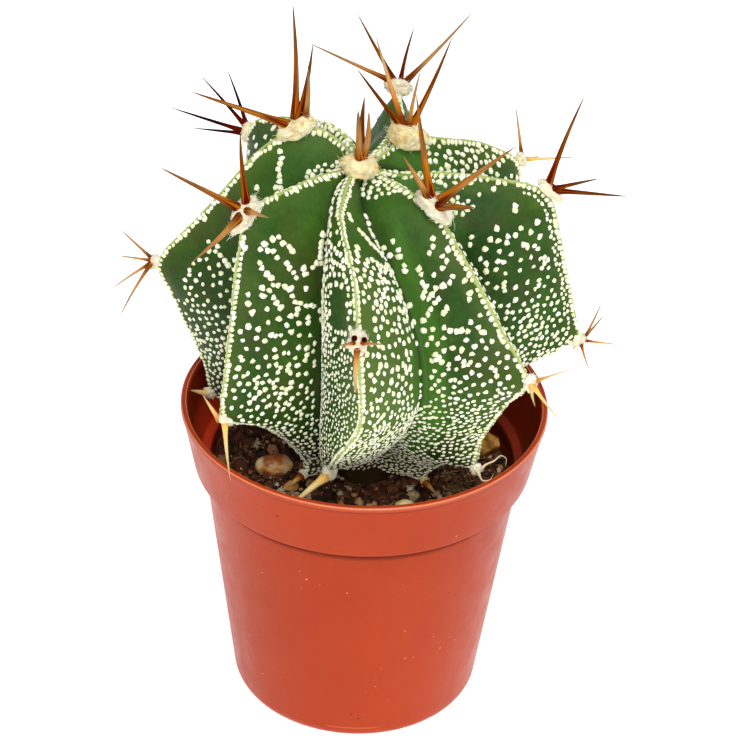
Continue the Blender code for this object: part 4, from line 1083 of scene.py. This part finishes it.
def make_pad(pad, mat, draw):
    """The felt pad of an areole: an uneven mound under matted hairs, some of which stand out."""
    tall = np.linspace(-1.0, 1.0, PAD_ROWS)[:, None]
    turn = turns(PAD_COLUMNS)[None, :]
    verts = pad.surface(round_axis(np.sqrt(np.maximum(1.0 - tall ** 2, 0.0)), turn, tall))
    mesh_object("pad_" + pad.label, verts, ring_faces(PAD_ROWS, PAD_COLUMNS), mat,
                "spine_and_felt", {"pale": np.full(PAD_ROWS * PAD_COLUMNS, pad.pale),
                                   "stain": pad.stain(verts)})
    count = int(PAD_HAIRS * pad.half[0] * pad.half[1] / MM ** 2) + LEAST_HAIRS
    start = unit(draw.normal(0.0, 1.0, (count, 3)))
    start[:, 2] = np.abs(start[:, 2]) * 1.1 - 0.25
    start = unit(start)
    heading = np.cross(start, [0.0, 0.0, 1.0]) + draw.normal(0.0, 0.9, (count, 3))
    heading = unit(heading - start * np.sum(heading * start, axis=1, keepdims=True))
    reach = draw.uniform(0.35, 1.0, count)[:, None] * np.linspace(0.0, 1.0, HAIR_STEPS)[None]
    lift = np.where(draw.uniform(0.0, 1.0, count) < 0.22, draw.uniform(0.2, 0.5, count),
                    draw.uniform(0.01, 0.1, count))
    line = (start[:, None, :] * np.cos(reach)[:, :, None]
            + heading[:, None, :] * np.sin(reach)[:, :, None])
    flat = pad.surface(line)
    share = np.linspace(0.0, 1.0, HAIR_STEPS)[None, :, None]
    line = flat + (flat - pad.middle) * (lift[:, None, None] * share ** 1.5 + 0.015)
    hue = np.repeat(pad.pale + draw.normal(0.0, 0.16, count), HAIR_STEPS * STRAND_SIDES)
    stain = np.repeat(pad.stain(line).ravel(), STRAND_SIDES)
    strand_mesh("wool_" + pad.label, line, HAIR_RADIUS, mat, "spine_and_felt",
                {"pale": hue, "stain": stain})


def strand_mesh(name, lines, radius, mat, slot, attributes=None):
    """Fine tapered strands along lines, an array of strands by steps."""
    count, steps = lines.shape[:2]
    along = unit(np.gradient(lines, axis=1))
    aside = unit(np.cross(along, np.array([0.31, 0.52, 0.79])))
    other = np.cross(along, aside)
    turn = turns(STRAND_SIDES)
    ring = (aside[:, :, None, :] * np.cos(turn)[:, None]
            + other[:, :, None, :] * np.sin(turn)[:, None])
    thin = radius * (1.0 - 0.75 * np.linspace(0.0, 1.0, steps) ** 1.5)
    verts = lines[:, :, None, :] + ring * thin[None, :, None, None]
    faces = repeated(ring_faces(steps, STRAND_SIDES), count, steps * STRAND_SIDES)
    mesh_object(name, verts, faces, mat, slot, attributes)


def make_spines(pad, mat, draw):
    """An areole's spines: each flares at its root, tapers to a point and bends a little."""
    verts, faces, looks = [], [], []
    turn = turns(SPINE_SIDES)
    t = np.clip(SPINE_SHARES, 0.0, 1.0)
    closing = np.interp(SPINE_SHARES, (-0.034, -0.03, -0.016, 0.0), (0.02, 0.62, 0.94, 1.0))
    one = ring_faces(len(t), SPINE_SIDES)
    for k, path in enumerate(pad.spines):
        span = path[-1] - path[0]
        length = np.linalg.norm(span)
        middle = smooth_path(path, 60)
        centre = at_shares(middle, t) + np.outer(np.minimum(SPINE_SHARES, 0.0), span)
        along = at_shares(unit(np.gradient(middle, axis=0)), t)
        aside = unit(np.cross(along, np.array([0.3, 0.5, 1.0])))
        other = np.cross(along, aside)
        bend = draw.uniform(0.008, 0.03) * (1 if draw.uniform() > 0.35 else -1)
        centre += aside * (bend * length * np.sin(np.pi * t))[:, None]
        stout, power = STOUT.get((pad.label, k), USUAL_BUILD)
        thick = 1.12 * stout * pad.radius * MM * (0.6 + 0.4 * min(length / SPINE_LONG, 1.0))
        flare = np.exp(-(t / 0.13) ** 2)
        width = thick * closing * (0.04 + 0.7 * (1.0 - t) ** power + 0.26 * flare)
        ring = (aside[:, None, :] * np.cos(turn)[None, :, None]
                + other[:, None, :] * np.sin(turn)[None, :, None])
        verts.append((centre[:, None, :] + ring * width[:, None, None]).reshape(-1, 3))
        faces.append(one + k * len(t) * SPINE_SIDES)
        shape = (len(t), SPINE_SIDES)
        looks.append([np.broadcast_to(values, shape).ravel() for values in (
            t[:, None], pad.tones[k], np.cos(turn)[None], np.sin(turn)[None], draw.uniform(0, 9))])
    looks = np.concatenate(looks, axis=1)
    names = ("along", "tone", "side_x", "side_y", "own")
    return mesh_object("thorns_" + pad.label, np.vstack(verts), np.vstack(faces), mat,
                       "spine_and_felt", dict(zip(names, looks)))


def make_areoles(felt, horn):
    draw = np.random.default_rng(23)
    for k, label in enumerate(AREOLES):
        pad = Pad(label, 3.1 * k)
        make_pad(pad, felt, draw)
        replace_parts(make_spines(pad, horn, draw), "spines_" + label)


def felt_material():
    look = Look("felt", 0.95, Sheen_Weight=0.3, Sheen_Roughness=0.45, Subsurface_Weight=0.3,
                Subsurface_Scale=0.0008)
    grain = look.noise(750.0, 3.0, 0.6)
    straw = look.ramp(grain, (0.3, (244, 204, 124)), (0.5, (255, 232, 166)),
                      (0.7, (255, 246, 202)))
    white = look.ramp(grain, (0.3, (244, 228, 192)), (0.5, (254, 246, 224)),
                      (0.7, (255, 252, 240)))
    look.colour = look.mix(look.attribute("pale"), straw, white)
    uneven = look.remap(look.noise(1500.0, 2.0), 0.3, 0.65, 0.05, 0.5)
    look.paint(look.times(look.attribute("stain"), uneven), (206, 130, 58))
    look.bump(look.noise(3500.0, 3.0), 0.1 * MM)
    return look.finished()


def horn_streaks(look, along, fineness, stretch):
    """Noise in lengthwise streaks: how fine they are round a spine, and how short along it."""
    place = look.node("ShaderNodeCombineXYZ", {
        "X": look.times(look.attribute("side_x"), fineness),
        "Y": look.times(look.attribute("side_y"), fineness),
        "Z": look.plus(look.times(along, stretch), look.attribute("own"))})
    return look.noise(1.0, 2.0, vector=place.outputs[0])


def horn_material():
    """Spines: dark at the root, amber to red-brown, with lengthwise streaks (partly painted light
    and shade) and a greyer tip.
    """
    look = Look("horn", 0.46, Specular_IOR_Level=0.0, Subsurface_Weight=0.08,
                Subsurface_Scale=0.0003)
    along = look.attribute("along")
    tone = look.attribute("tone")
    pale = look.ramp(along, (0.0, (228, 156, 56)), (0.12, (248, 206, 112)),
                     (0.4, (246, 214, 150)), (1.0, (186, 160, 116)))
    red = look.ramp(along, (0.0, (80, 14, 3)), (0.1, (102, 26, 4)), (0.4, (112, 50, 10)),
                    (0.75, (90, 54, 20)), (1.0, (62, 50, 36)))
    dark = look.ramp(along, (0.0, (120, 50, 20)), (0.16, (56, 20, 12)), (0.4, (26, 14, 14)),
                     (1.0, (26, 18, 18)))
    look.colour = look.mix(look.remap(tone, 0.02, 0.46), pale, red)
    look.colour = look.mix(look.remap(tone, 0.54, 0.95), look.colour, dark)
    look.paint(look.remap(tone, 0.0, -0.2, 0.0, 0.7), (255, 236, 200))
    fresh = look.times(look.remap(tone, 0.05, 0.1), look.remap(tone, 0.32, 0.14))
    look.paint(look.times(look.remap(along, 0.66, 0.36), fresh), (220, 120, 16), 0.8)
    blood = look.times(look.remap(along, 0.32, 0.12), look.remap(tone, 0.05, 0.1))
    look.paint(blood, (88, 10, 3), 0.88)
    broad = horn_streaks(look, along, 1.1, 1.6)
    narrow = horn_streaks(look, along, 5.0, 2.2)
    # Partly the horn's own streaks, partly painted light: broad amber streaks for the lit side of a
    # spine
    lit = look.times(look.remap(tone, 0.66, 0.42), look.remap(tone, 0.1, 0.35))
    look.paint(look.times(look.remap(broad, 0.47, 0.57), lit), (194, 116, 18), 0.72)
    # Partly the horn's own streaks, partly painted shade: narrow dark red-brown streaks for the
    # shaded edges
    deep = look.times(look.remap(narrow, 0.52, 0.36), look.remap(tone, -0.1, 0.4))
    look.paint(deep, (74, 20, 3), 0.6)
    look.bump(narrow, 0.05 * MM)
    return look.finished()


# The pot

def pot_inner_radius(height):
    share = height / (POT_HEIGHT - BAND_HEIGHT)
    return FOOT_RADIUS + (WALL_TOP_RADIUS - FOOT_RADIUS) * share - WALL_THICKNESS


def rounded(corners, radius):
    """A profile through (radius, height) corners with each corner rounded off."""
    points = []
    for k, corner in enumerate(corners):
        if k in (0, len(corners) - 1):
            points.append(corner)
            continue
        here = Vector(corner)
        back = Vector(corners[k - 1]) - here
        ahead = Vector(corners[k + 1]) - here
        reach = min(radius, 0.4 * back.length, 0.4 * ahead.length)
        start = here + back.normalized() * reach
        end = here + ahead.normalized() * reach
        for step in range(CORNER_STEPS + 1):
            t = step / CORNER_STEPS
            point = start * (1 - t) ** 2 + here * 2 * t * (1 - t) + end * t ** 2
            points.append(tuple(point))
    return points


def make_pot(mat):
    step = POT_HEIGHT - BAND_HEIGHT
    ledge = step + 0.6 * WALL_THICKNESS
    floor_top = RECESS_DEPTH + FLOOR_THICKNESS
    ring_inside = FOOT_RADIUS - FOOT_RING_WIDTH
    corners = [
        (FLOOR_JOIN, RECESS_DEPTH), (ring_inside - 0.5 * MM, RECESS_DEPTH),
        (ring_inside, 0.0), (FOOT_RADIUS - 0.4 * MM, 0.0), (FOOT_RADIUS + 0.05 * MM, 0.9 * MM),
        (WALL_TOP_RADIUS, step - 0.05 * MM), (BAND_BOTTOM_RADIUS - 0.15 * MM, step + 0.05 * MM),
        (BAND_BOTTOM_RADIUS + 0.05 * MM, step + 0.5 * MM),
        (RIM_RADIUS - 0.18 * MM, POT_HEIGHT - 1.6 * LIP), (RIM_RADIUS, POT_HEIGHT - 1.3 * LIP),
        (RIM_RADIUS, POT_HEIGHT - 0.4 * LIP), (RIM_RADIUS - 0.5 * LIP, POT_HEIGHT),
        (RIM_RADIUS - 1.4 * LIP, POT_HEIGHT), (RIM_RADIUS - WALL_THICKNESS, POT_HEIGHT - LIP),
        (BAND_BOTTOM_RADIUS - WALL_THICKNESS, ledge),
        (pot_inner_radius(ledge), ledge - 0.3 * MM),
        (pot_inner_radius(floor_top), floor_top + 0.2 * MM),
        (FLOOR_JOIN, floor_top),
    ]
    profile = []
    smooth = rounded(corners, CORNER_RADIUS)
    for start, end in zip(smooth, smooth[1:]):
        pieces = max(1, int(math.dist(start, end) / PROFILE_STEP))
        profile.append(np.linspace(start, end, pieces, endpoint=False))
    profile = np.vstack([*profile, smooth[-1:]])
    turn = turns(POT_SIDES)
    radius = profile[:, 0][:, None] * (1.0 + 0.0006 * np.sin(2.0 * turn + 0.7)[None, :])
    verts = round_axis(radius, turn, profile[:, 1][:, None])
    past_lip = np.arange(len(profile)) - np.argmax(profile[:, 1])
    inside = np.repeat(np.clip(past_lip / 6.0 - 0.5, 0.0, 1.0), POT_SIDES)
    pot = mesh_object("pot_shell", verts, ring_faces(len(profile), POT_SIDES), mat, "pot_plastic",
                      {"inside": inside})
    make_pot_floor(mat, floor_top)
    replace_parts(pot, "pot")


def make_pot_floor(mat, floor_top):
    """The middle of the floor, with its four drain holes, inside the turned shell."""
    bm = bmesh.new()
    thick = floor_top - RECESS_DEPTH
    radius = FLOOR_JOIN + 0.02 * MM
    bmesh.ops.create_cone(bm, cap_ends=True, segments=POT_SIDES, radius1=radius,
                          radius2=radius, depth=thick - 0.02 * MM,
                          matrix=Matrix.Translation((0, 0, RECESS_DEPTH + thick / 2)))
    slab = object_from_bmesh("pot_floor", bm, mat)
    bm = bmesh.new()
    for k in range(4):
        turn = 2.0 * math.pi * (k + 0.5) / 4
        place = Matrix.Translation((DRAIN_RING_RADIUS * math.cos(turn),
                                    DRAIN_RING_RADIUS * math.sin(turn), FLOOR_THICKNESS))
        bmesh.ops.create_cone(bm, cap_ends=True, segments=32, radius1=DRAIN_RADIUS,
                              radius2=DRAIN_RADIUS, depth=6.0 * MM, matrix=place)
    apply_boolean(slab, object_from_bmesh("holes", bm, mat), "DIFFERENCE")
    bm = bmesh.new()
    bmesh.ops.create_cone(bm, cap_ends=True, segments=64, radius1=FOOT_PAD_RADIUS,
                          radius2=FOOT_PAD_RADIUS + 0.4 * MM, depth=RECESS_DEPTH + 0.2 * MM,
                          matrix=Matrix.Translation((0, 0, (RECESS_DEPTH + 0.2 * MM) / 2)))
    apply_boolean(slab, object_from_bmesh("foot_pad", bm, mat), "UNION")
    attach(slab, "root")
    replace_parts(slab, "pot")


def object_from_bmesh(name, bm, mat):
    mesh = bpy.data.meshes.new(name)
    bm.to_mesh(mesh)
    bm.free()
    mesh.materials.append(mat)
    mesh.shade_smooth()
    mesh.set_sharp_from_angle(angle=SHARP_ANGLE)
    obj = bpy.data.objects.new(name, mesh)
    bpy.context.scene.collection.objects.link(obj)
    return obj


def apply_boolean(obj, tool, operation):
    modifier = obj.modifiers.new("cut", "BOOLEAN")
    modifier.operation = operation
    modifier.object = tool
    graph = bpy.context.evaluated_depsgraph_get()
    baked = bpy.data.meshes.new_from_object(obj.evaluated_get(graph))
    obj.modifiers.clear()
    obj.data = baked
    bpy.data.objects.remove(tool, do_unlink=True)


def plastic_material():
    look = Look("terracotta_plastic", 0.36, Specular_IOR_Level=0.12, Subsurface_Weight=0.3,
                Subsurface_Scale=0.002, Subsurface_Radius=(1.0, 0.2, 0.06))
    axes = look.axes()
    x, height = axes["X"], axes["Z"]
    broad = look.remap(look.noise(40.0, 2.0), 0.35, 0.65)
    look.colour = look.mix(broad, linear((160, 51, 12)), linear((168, 57, 15)))
    flow = look.noise(1.0, 3.0, vector=look.stretched(260.0, 260.0, 22.0))
    look.paint(look.remap(flow, 0.5, 0.8, 0.0, 0.2), (172, 66, 24))
    chosen = look.remap(look.noise(160.0, 1.0), 0.62, 0.66)
    look.paint(look.times(look.remap(look.cells(420.0), 0.1, 0.05), chosen), (84, 26, 12))
    dusty = look.remap(look.noise(120.0, 2.0, 0.6), 0.6, 0.68)
    look.paint(look.times(look.remap(look.cells(640.0), 0.13, 0.06), dusty), (226, 150, 112))
    # Painted light and shade on the inner wall: bright red low on the left, dark red elsewhere
    lit = look.times(look.remap(x, -14.0 * MM, -20.0 * MM),
                     look.remap(height, 46.0 * MM, 43.5 * MM))
    glow = look.mix(lit, linear((96, 14, 5)), linear((250, 74, 36)))
    look.colour = look.mix(look.times(look.attribute("inside"), 0.5), look.colour, glow)
    step = POT_HEIGHT - BAND_HEIGHT
    shade = look.times(look.remap(height, step - 2.0 * MM, step - 1.2 * MM),
                       look.remap(height, step + 0.4 * MM, step + 0.15 * MM))
    look.paint(shade, (66, 15, 4), 0.7)
    # Painted shade: a dark line just under the bead below the lip
    under_bead = look.gap(height, POT_HEIGHT - 1.0 * MM)
    look.paint(look.remap(under_bead, 0.24 * MM, 0.08 * MM, 0.0, 0.4), (92, 24, 8))
    # Painted highlight: a pale line along the mould line near the foot, at the front only
    line = look.times(look.remap(look.gap(height, 1.7 * MM), 0.2 * MM, 0.08 * MM, 0.0, 0.3),
                      look.remap(look.gap(x, 0.0), 4.4 * MM, 3.4 * MM))
    look.paint(line, (226, 128, 90))
    # Painted highlight: two pale rings along the edges of the lip's top
    from_axis = look.node("ShaderNodeVectorMath", {0: look.stretched(1.0, 1.0, 0.0)},
                          operation="LENGTH").outputs["Value"]
    top = look.remap(height, POT_HEIGHT - 0.7 * MM, POT_HEIGHT - 0.3 * MM)
    for radius in (RIM_RADIUS - 0.1 * MM, RIM_RADIUS - 0.78 * MM):
        lip_highlight = look.times(look.remap(look.gap(from_axis, radius), 0.12 * MM, 0.02 * MM), top)
        look.paint(lip_highlight, (250, 176, 140), 0.5)
    rough = look.remap(look.noise(300.0, 3.0), 0.3, 0.7, 0.3, 0.44)
    rough = look.plus(rough, look.times(shade, 0.5))
    lip = look.remap(height, POT_HEIGHT - 0.9 * MM, POT_HEIGHT - 0.5 * MM, 0.0, 0.2)
    look.link("Roughness", look.math("SUBTRACT", rough, lip))
    look.bump(look.noise(1400.0, 3.0), 0.04 * MM)
    look.bump(look.noise(1.0, 2.0, vector=look.stretched(90.0, 90.0, 30.0)), 0.3 * MM, 0.25)
    return look.finished()


# The soil

def soil_relief(x, y):
    waves = np.sin(0.9 * x / MM + 1.3) * np.cos(0.75 * y / MM - 0.4)
    return SOIL_RELIEF * (waves + 0.6 * np.sin(1.7 * x / MM - 1.1 * y / MM)) / 1.6


def on_soil(x, y):
    """The places (x, y) with the soil's height there."""
    height = SOIL_LEVEL - SOIL_SINK - SOIL_TILT * x + soil_relief(x, y)
    return np.stack([x, y, height], axis=-1)


def make_soil(mat):
    """The potting mix: a turned block with a lumpy top."""
    outer = pot_inner_radius(SOIL_LEVEL) - 0.15 * MM
    turn = turns(SOIL_SIDES)
    floor = RECESS_DEPTH + FLOOR_THICKNESS + CLEARANCE
    rows = [round_axis(radius, turn, height) for radius, height in (
        (0.1 * MM, floor), (pot_inner_radius(floor) - 1.3 * MM, floor),
        (pot_inner_radius(floor + 1.2 * MM) - CLEARANCE, floor + 1.2 * MM),
        (outer - 0.2 * MM, SOIL_LEVEL - 2.5 * MM))]
    for radius in np.linspace(outer, 3.0 * MM, SOIL_RINGS):
        top = on_soil(radius * np.cos(turn), radius * np.sin(turn))
        lumps = wave(top, 420.0, 2.0, 4) * 0.7 * MM + wave(top, 1500.0, 9.0, 2) * 0.25 * MM
        top[:, 2] += lumps
        rows.append(top)
    verts = np.concatenate(rows)
    soil = mesh_object("soil_bed", verts, ring_faces(len(rows), SOIL_SIDES), mat, "potting_mix")
    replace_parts(soil, "soil")
    return outer


def ico_arrays(subdivisions):
    bm = bmesh.new()
    bmesh.ops.create_icosphere(bm, subdivisions=subdivisions, radius=1.0)
    verts = np.array([v.co[:] for v in bm.verts])
    faces = np.array([[v.index for v in f.verts] for f in bm.faces])
    bm.free()
    return verts, faces


def lump_mesh(name, places, radii, mat, draw, subdivisions, rough=0.28):
    """Irregular lumps of soil or grit, fused into one piece."""
    ball, faces = ico_arrays(subdivisions)
    count = len(places)
    seeds = draw.uniform(0.0, 60.0, (count, 1, 3))
    stretch = draw.uniform(0.6, 1.25, (count, 1, 3))
    ragged = wave(ball[None] * 1.3 + seeds, 1.0, 0.0, 3)
    shapes = ball[None] * stretch * (1.0 + rough * 2.0 * ragged)[:, :, None]
    verts = places[:, None, :] + shapes * radii[:, None, None]
    tint = np.repeat(draw.uniform(0.0, 1.0, count), len(ball))
    mesh_object(name, verts, repeated(faces, count, len(ball)), mat, "potting_mix",
                {"tint": tint}, smooth=False)


def scatter_on_soil(count, outer, draw):
    radius = np.sqrt(draw.uniform((PLANT_FOOT / outer) ** 2, 1.0, count)) * outer
    turn = draw.uniform(0.0, 2.0 * math.pi, count)
    return on_soil(radius * np.cos(turn), radius * np.sin(turn))


def make_crumbs(outer, mat):
    draw = np.random.default_rng(31)
    fine = scatter_on_soil(FINE_CRUMBS, outer - 0.3 * MM, draw)
    fine_size = draw.uniform(0.16, 0.5, len(fine)) * MM
    fine[:, 2] += draw.uniform(0.0, 0.6, len(fine)) * MM
    lump_mesh("crumbs_fine", fine, fine_size, mat, draw, 1)
    clods = scatter_on_soil(CLODS, outer - 1.0 * MM, draw)
    clod_size = draw.uniform(0.5, 1.4, len(clods)) * MM
    lump_mesh("crumbs_coarse", clods, clod_size, mat, draw, 2, 0.34)
    return draw


def heaps_on_soil(heaps, draw):
    """Places round the middle of each heap (x, y, spread in mm and how many)."""
    spots = [draw.normal((x, y), spread, (count, 2)) for x, y, spread, count in heaps]
    return on_soil(*(np.concatenate(spots) * MM).T)


def make_grit(outer, mat, draw):
    """Pale grit, thin all over and thick in heaps."""
    thin = scatter_on_soil(THIN_GRIT, outer - 0.5 * MM, draw)
    thick = heaps_on_soil(GRIT_HEAPS, draw)
    places = np.concatenate([thin, thick])
    places[:, 2] += 0.45 * MM
    sizes = np.concatenate([draw.uniform(0.08, 0.24, len(thin)),
                            draw.uniform(0.2, 0.52, len(thick))])
    lump_mesh("grit_fine", places, sizes * MM, mat, draw, 2, 0.2)


def make_fibres(outer, mat, draw):
    """Thin root and peat fibres that lie across the soil."""
    roots = np.concatenate([scatter_on_soil(THIN_FIBRES, outer - 1.5 * MM, draw),
                            heaps_on_soil(FIBRE_HEAPS, draw)])
    count = len(roots)
    roots[:, 2] += draw.uniform(0.3, 1.0, count) * MM
    out = unit(draw.normal(0.0, 1.0, (count, 3)) * np.array([1.0, 1.0, 0.25]))[:, None, :]
    curl = (draw.normal(0.0, 0.5, (count, 3)) * np.array([1.0, 1.0, 0.3]))[:, None, :]
    t = np.linspace(0.0, 1.0, HAIR_STEPS)[None, :, None]
    length = draw.uniform(1.0, 3.0, count)[:, None, None] * MM
    lines = roots[:, None, :] + length * (out * t + curl * t ** 2)
    reach = np.linalg.norm(lines[:, -1, :2], axis=1)
    strand_mesh("fibres", lines[reach < outer - 0.3 * MM], FIBRE_RADIUS, mat, "potting_mix")


def soil_material():
    look = Look("potting_mix", 0.95, Specular_IOR_Level=0.25)
    grain = look.noise(700.0, 5.0, 0.65)
    look.colour = look.ramp(grain, (0.3, (24, 12, 7)), (0.46, (62, 34, 19)),
                            (0.6, (118, 72, 42)), (0.74, (184, 132, 88)))
    look.paint(look.remap(look.noise(260.0, 2.0), 0.5, 0.66, 0.0, 0.6), (112, 54, 30))
    look.bump(grain, 0.6 * MM)
    look.bump(look.noise(3000.0, 3.0), 0.2 * MM)
    return look.finished()


def crumb_material():
    """Crumbs of peat, bark and sand: each has its own colour, from near black to pale."""
    look = Look("crumbs", 0.85, Specular_IOR_Level=0.35)
    look.colour = look.ramp(look.attribute("tint"), (0.0, (28, 14, 8)), (0.5, (74, 40, 22)),
                            (0.76, (126, 72, 42)), (0.92, (168, 108, 66)),
                            (0.98, (206, 158, 110)), (1.0, (238, 212, 176)))
    grain = look.noise(2400.0, 3.0, 0.6)
    look.paint(look.remap(grain, 0.4, 0.7, 0.0, 0.5), (26, 14, 9))
    look.bump(grain, 0.2 * MM)
    return look.finished()


def grit_look(name, dark, middle, light):
    """A stone's colour in patches, with fine grain and small pits."""
    look = Look(name, 0.6, Specular_IOR_Level=0.4)
    patches = look.noise(480.0, 4.0, 0.55)
    look.colour = look.ramp(patches, (0.32, dark), (0.5, middle), (0.66, light))
    grain = look.noise(3500.0, 3.0)
    look.paint(look.remap(grain, 0.35, 0.7, 0.0, 0.35), dark)
    look.link("Roughness", look.remap(grain, 0.3, 0.7, 0.45, 0.75))
    look.bump(grain, 0.15 * MM)
    look.bump(patches, 0.4 * MM, 0.5)
    return look


def rust_patch(look):
    """The rust-brown middle of the largest pebble, streaked, with pale ends."""
    x = look.axes()["X"]
    streaks = look.noise(1.0, 3.0, 0.55, look.stretched(330.0, 330.0, 900.0))
    inner = look.times(look.remap(x, -15.3 * MM, -14.7 * MM),
                       look.remap(x, -10.8 * MM, -12.2 * MM))
    look.paint(look.times(inner, look.remap(streaks, 0.36, 0.5, 0.25, 0.95)), (168, 80, 30))


def facets(ball, seed):
    """How far an angular stone reaches in the directions of a unit ball: it is cut by planes."""
    draw = np.random.default_rng(seed)
    planes = unit(draw.normal(0.0, 1.0, (11, 3)))
    depth = draw.uniform(0.68, 0.95, 11)
    facing = np.maximum(ball @ planes.T, 1e-3)
    return np.minimum(np.min(depth / facing, axis=1), 1.12)


def make_stones():
    """The six named stones, each on the place and of the size of its solid."""
    ball, faces = ico_arrays(4)
    for name, (place, half, turn, seed) in STONES.items():
        rough, slot, *colours = STONE_LOOKS[name]
        look = grit_look(name + "_stone", *colours)
        if name == "pebble_tan":
            rust_patch(look)
        ragged = wave(ball, 1.1, seed * 3.7, 3)
        reach = 0.98 + rough * ragged
        if name == "stone_olive":
            reach = facets(ball, seed) * (1.0 + 0.06 * ragged)
        shape = ball * reach[:, None] * np.array(half) * MM
        angle = math.radians(turn)
        spin = np.array([[math.cos(angle), math.sin(angle), 0.0],
                         [-math.sin(angle), math.cos(angle), 0.0], [0.0, 0.0, 1.0]])
        x, y = place[0] * MM, place[1] * MM
        lift = SOIL_LEVEL - SOIL_TILT * x + half[2] * MM * LIFTS.get(name, USUAL_LIFT)
        verts = shape @ spin + np.array([x, y, lift])
        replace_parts(mesh_object(name + "_fine", verts, faces, look.finished(), slot), name)


# Camera, light and floor

# The camera of the photo: 34.5 degrees above the rim and rolled a little
ELEVATION = math.radians(34.49)
ROLL = math.radians(2.225)
DISTANCE = 0.4285
AIM = Vector((0.0, 0.0, 0.0501))
LENS = 140.0
SHIFT = (0.0046, 0.0413)
# Lamps: name, place, size and power; and the light from all round
LAMPS = (("key", (0.16, -0.4, 0.86), 0.38, 4.0), ("front", (0.04, -0.77, 0.58), 0.4, 2.8))
LAMP_AIM = Vector((0.0, 0.0, 0.05))
LIGHT_ALL_ROUND = 0.54
FLOOR_HALF = 3.0


def make_camera():
    forward = Vector((0.0, math.cos(ELEVATION), -math.sin(ELEVATION)))
    right = Vector((1.0, 0.0, 0.0))
    up = right.cross(forward)
    level = right * math.cos(ROLL) + up * math.sin(ROLL)
    upright = -right * math.sin(ROLL) + up * math.cos(ROLL)
    data = bpy.data.cameras.new("camera")
    data.sensor_fit = "HORIZONTAL"
    data.sensor_width = 36.0
    data.lens = LENS
    data.shift_x, data.shift_y = SHIFT
    data.clip_start = 0.01
    camera = bpy.data.objects.new("camera", data)
    matrix = Matrix((level, upright, -forward)).transposed().to_4x4()
    matrix.translation = AIM - forward * DISTANCE
    camera.matrix_world = matrix
    bpy.context.scene.collection.objects.link(camera)
    bpy.context.scene.camera = camera


def make_light():
    world = bpy.data.worlds.new("studio")
    world.use_nodes = True
    background = world.node_tree.nodes["Background"]
    background.inputs["Color"].default_value = (1.0, 1.0, 1.0, 1.0)
    background.inputs["Strength"].default_value = LIGHT_ALL_ROUND
    bpy.context.scene.world = world
    for name, place, size, power in LAMPS:
        data = bpy.data.lights.new(name, "AREA")
        data.size = size
        data.energy = power
        light = bpy.data.objects.new(name, data)
        light.location = place
        aim = LAMP_AIM - Vector(place)
        light.rotation_euler = aim.to_track_quat("-Z", "Y").to_euler()
        bpy.context.scene.collection.objects.link(light)


def make_floor():
    look = Look("floor_white", 0.7, Specular_IOR_Level=0.2, Emission_Color=(1.0, 1.0, 1.0, 1.0),
                Emission_Strength=0.62)
    look.colour = look.mix(look.noise(30.0, 2.0), linear((246, 246, 246)),
                           linear((252, 252, 252)))
    half = FLOOR_HALF
    corners = [(-half, -half, 0.0), (half, -half, 0.0), (half, half, 0.0), (-half, half, 0.0)]
    mesh_object("floor", corners, [(0, 1, 2, 3)], look.finished())


def main():
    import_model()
    make_camera()
    make_light()
    make_floor()
    surface = plant_surface()
    make_body(surface, skin_material())
    make_flecks(surface, fleck_material())
    make_areoles(felt_material(), horn_material())
    make_pot(plastic_material())
    outer = make_soil(soil_material())
    draw = make_crumbs(outer, crumb_material())
    pale = grit_look("grit_pale", (120, 96, 66), (190, 166, 128), (236, 224, 196))
    make_grit(outer, pale.finished(), draw)
    fibre = grit_look("fibre", (70, 44, 26), (140, 102, 62), (200, 164, 112))
    make_fibres(outer, fibre.finished(), draw)
    make_stones()
    bpy.context.scene.view_settings.view_transform = "Standard"
    bpy.context.view_layer.update()


main()
